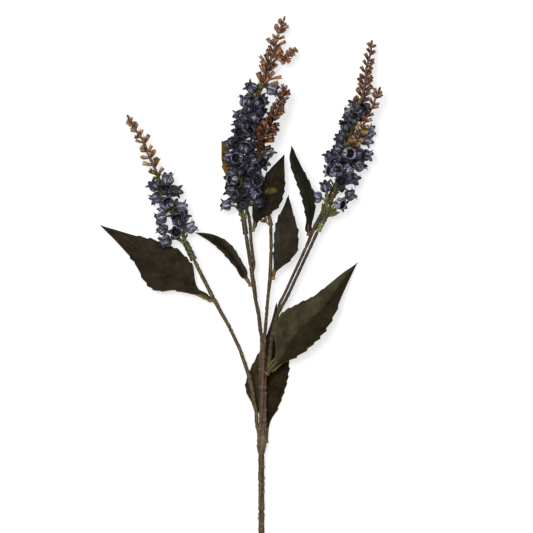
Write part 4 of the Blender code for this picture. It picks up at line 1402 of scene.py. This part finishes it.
def leaf_shape(node, sizes):
    """Pressed fabric leaf on the CAD leaf's midrib and edges, with its petiole and back rib."""
    rng = random.Random(node)
    shares, lines = leaf_lines(node)
    length = np.linalg.norm(lines[-1, 0] - lines[0, 0])
    side = unit(np.cross(lines[-1, 0] - lines[0, 0], UP))
    lines = lines + (BENDS.get(node, 0) * np.sin(math.pi * shares ** 1.6))[:, None, None] * side
    along = np.linspace(BLADE_STARTS.get(node, 0.03), 1.0, int(length / 1.25))
    rows = smooth_through(along, shares, lines.reshape(len(lines), 9)).reshape(-1, 3, 3)
    middle, edges = rows[:, 0], {-1: rows[:, 1], 1: rows[:, 2]}
    across = np.linspace(-1, 1, 29)
    points = np.zeros((len(along), len(across), 3))
    for half, edge in edges.items():
        reach = edge - middle
        width = np.linalg.norm(reach, axis=1, keepdims=True)
        way = reach / np.maximum(width, 1e-6)
        base = np.where(along < 0.5, BASE_WIDTHS.get(node, 1.7), 0.12)
        width = width[:, 0] * np.interp(along, (0, 1), WIDENING.get(node, (1, 1)))
        width = np.maximum(width, base * np.clip(along / 0.05, 0.75, 1))
        teeth = margin_teeth(along, length, rng, sizes) * np.clip(width / 8, 0, 1)
        wave = rng.uniform(0.5, 1.0) * np.sin(along * rng.uniform(11, 15) + rng.uniform(0, 6))
        wave *= np.clip(width / 10, 0, 1)
        for column in np.nonzero(across * half >= 0)[0]:
            out = abs(across[column])
            soft = (math.hypot(out, FOLD) - FOLD) / (math.hypot(1, FOLD) - FOLD)
            place = middle + way * (width * soft + teeth * out ** 5)[:, None]
            veins = np.cos(FULL_TURN * (along - VEIN_SLANT * out) * VEIN_PAIRS)
            puff = 0.16 * veins * math.sin(math.pi * out) + 0.7 * math.sin(math.pi * out ** 0.8)
            place[:, 2] += puff * np.clip(width / 8, 0, 1) + wave * out ** 3
            points[:, column] = place
    shape = Shape()
    along, across = np.broadcast_arrays(along[:, None], across)
    shape.sheet(points, sizes.thickness, along=along, across=across,
                tone=leaf_stain(node, along, across))
    add_petiole(shape, shares, lines, PETIOLES.get(node, 1))
    return shape


def add_petiole(shape, shares, lines, thick):
    """Petiole with a collar where it leaves the stem, running on as the rib under the blade."""
    at = np.linspace(0, 0.9, 70)
    path = smooth_through(at, shares, lines[:, 0])
    run = unit(path[1] - path[0])
    path = np.vstack([path[0] - run * 2.2, path])
    at = np.concatenate([[-0.01], at])
    radii = np.interp(at, (0, 0.07, 0.16, 0.5, 0.9), (1.9 * thick, 1.7 * thick, 1.0, 0.5, 0.2))
    radii[0] *= 0.6
    path[:, 2] -= np.interp(at, (0.05, 0.12), (0, 1)) * (radii * 0.75 + 0.2)
    shape.tube(path, radii, 12, along=0.3 - np.clip(at, 0, 0.3), finish=SECOND)
    collar = np.array([path[1] + run * step for step in (-1.6, -1.0, 0.0, 1.2, 1.8)])
    widths = np.array((1.9, 2.6, 2.8, 2.5, 1.8)) * thick ** 0.5
    shape.tube(collar, widths, 14, along=0.6, finish=SECOND)


class BELLFLOWER_OT_leaves(bpy.types.Operator):
    """Pressed fabric leaves with their petioles"""
    bl_idname = "bellflower.leaves"
    bl_label = "Leaves"

    def execute(self, context):
        sizes = context.scene.bellflower_leaves
        for node, (left, right, stalk, collar, slot) in LEAF_LOOKS.items():
            petiole = fleshy_green_polyethylene("fleshy_petiole_" + node, "#2c2415", stalk, collar)
            finish = printed_satin_leaf("printed_satin_" + node, left, right, "#453c2e", "#76652c")
            make_piece(node + "_blade", leaf_shape(node, sizes), [finish, petiole], node)
        return {"FINISHED"}


# ---------------------------------------------------------------- stage

class StageSizes(bpy.types.PropertyGroup):
    view_width: FloatProperty(name="View width", default=0.66625, unit="LENGTH",
                              description="Width of what the camera sees at the stem")
    key_power: FloatProperty(name="Key power", default=37, unit="POWER",
                             description="Power of the softbox overhead")
    sky_strength: FloatProperty(name="Sky strength", default=0.42, min=0, max=2,
                                description="Strength of the even light from all round")
    view_centre: FloatVectorProperty(name="View centre", size=2, default=(0.0328, 0.0166),
                                     subtype="COORDINATES", unit="LENGTH",
                                     description="Place on the floor that the camera looks at")


FLOOR_REACH = 6.0           # from the middle of the floor to its edges, in metres
SOFTBOX_PLACE = (-0.5, 0.6, 2.1)        # over the stem, to the left and towards its tips
SOFTBOX_WIDTH = 1.0         # in metres
LENS = 200                  # in mm, so long that all is seen from nearly straight above


def matt_white_paint():
    """Rolled matt paint that the camera sees as plain white, with the stem's shadow on it."""
    made = bpy.data.materials.new("matt_white_paint")
    made.use_nodes = True
    tree = made.node_tree
    inputs = tree.nodes["Principled BSDF"].inputs
    inputs["Base Color"].default_value = shade("#b3b3b3")
    inputs["Roughness"].default_value = 0.9
    inputs["Emission Color"].default_value = shade("#ffffff")
    path = add_node(tree, "LightPath").outputs
    seen = add_node(tree, "Math", {0: path["Is Camera Ray"], 1: path["Is Glossy Ray"]},
                    operation="MAXIMUM")
    glow = add_node(tree, "Math", {0: seen, 1: 0.64}, operation="MULTIPLY")
    tree.links.new(glow.outputs[0], inputs["Emission Strength"])
    return made


def add_softbox(name, place, target, size, power):
    """Square area lamp that faces a target."""
    data = bpy.data.lights.new(name, "AREA")
    data.size, data.energy = size, power
    lamp = bpy.data.objects.new(name, data)
    lamp.location = place
    way = np.array(target) - np.array(place)
    lamp.rotation_euler = (math.atan2(math.hypot(way[0], way[1]), -way[2]), 0,
                           math.atan2(-way[0], way[1]))
    bpy.context.scene.collection.objects.link(lamp)


class BELLFLOWER_OT_stage(bpy.types.Operator):
    """Floor, light and the camera that looks straight down"""
    bl_idname = "bellflower.stage"
    bl_label = "Stage"

    def execute(self, context):
        sizes, scene = context.scene.bellflower_stage, context.scene
        low, high = (np.array(corner) for corner in CAD_BOX)
        middle = low[2] + 15 * MM       # height of most of the stem
        mesh = bpy.data.meshes.new("floor")
        corners = [(x * FLOOR_REACH, y * FLOOR_REACH, low[2])
                   for x, y in ((-1, -1), (1, -1), (1, 1), (-1, 1))]
        mesh.from_pydata(corners, [], [(0, 1, 2, 3)])
        mesh.materials.append(matt_white_paint())
        floor = bpy.data.objects.new("floor", mesh)
        scene.collection.objects.link(floor)

        stem_low, stem_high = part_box("main_stem")
        aim = ((stem_low.x + stem_high.x) / 2, (low[1] + high[1]) / 2, middle)
        add_softbox("key_softbox", SOFTBOX_PLACE, aim, SOFTBOX_WIDTH, sizes.key_power)
        world = bpy.data.worlds.new("soft_sky")
        world.use_nodes = True
        scene.world = world
        tree = world.node_tree
        back = tree.nodes["Background"]
        back.inputs["Color"].default_value = shade("#ffffff")
        path = add_node(tree, "LightPath").outputs
        seen = add_node(tree, "MapRange", {"Value": path["Is Camera Ray"],
                                           "To Min": sizes.sky_strength, "To Max": 1.0})
        tree.links.new(seen.outputs[0], back.inputs["Strength"])

        data = bpy.data.cameras.new("camera")
        data.lens = LENS
        camera = bpy.data.objects.new("camera", data)
        distance = sizes.view_width * data.lens / data.sensor_width
        camera.location = (*sizes.view_centre, middle + distance)
        scene.collection.objects.link(camera)
        scene.camera = camera
        scene.view_settings.view_transform = "Standard"
        return {"FINISHED"}


# ---------------------------------------------------------------- add-on

class BELLFLOWER_PT_panel(bpy.types.Panel):
    """Lists the operators and the sizes that they use"""
    bl_idname = "BELLFLOWER_PT_panel"
    bl_label = "Bellflower stem"
    bl_space_type = "VIEW_3D"
    bl_region_type = "UI"
    bl_category = "Bellflower"

    def draw(self, context):
        for operator, key, group in PARTS:
            box = self.layout.box()
            box.operator(operator.bl_idname)
            for name in group.__annotations__:
                box.prop(getattr(context.scene, key), name)


PARTS = (
    (BELLFLOWER_OT_stems, "bellflower_stems", StemSizes),
    (BELLFLOWER_OT_axes, "bellflower_axes", AxisSizes),
    (BELLFLOWER_OT_bells, "bellflower_bells", BellSizes),
    (BELLFLOWER_OT_tips, "bellflower_buds", BudSizes),
    (BELLFLOWER_OT_leaves, "bellflower_leaves", LeafSizes),
    (BELLFLOWER_OT_stage, "bellflower_stage", StageSizes),
)


def register():
    for operator, key, group in PARTS:
        bpy.utils.register_class(group)
        bpy.utils.register_class(operator)
        setattr(bpy.types.Scene, key, PointerProperty(type=group))
    bpy.utils.register_class(BELLFLOWER_PT_panel)


def unregister():
    bpy.utils.unregister_class(BELLFLOWER_PT_panel)
    for operator, key, group in reversed(PARTS):
        delattr(bpy.types.Scene, key)
        bpy.utils.unregister_class(operator)
        bpy.utils.unregister_class(group)


def main():
    register()
    bpy.ops.bellflower.stems()
    bpy.ops.bellflower.axes()
    bpy.ops.bellflower.bells()
    bpy.ops.bellflower.tips()
    bpy.ops.bellflower.leaves()
    bpy.ops.bellflower.stage()
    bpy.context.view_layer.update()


if __name__ == "__main__":
    main()
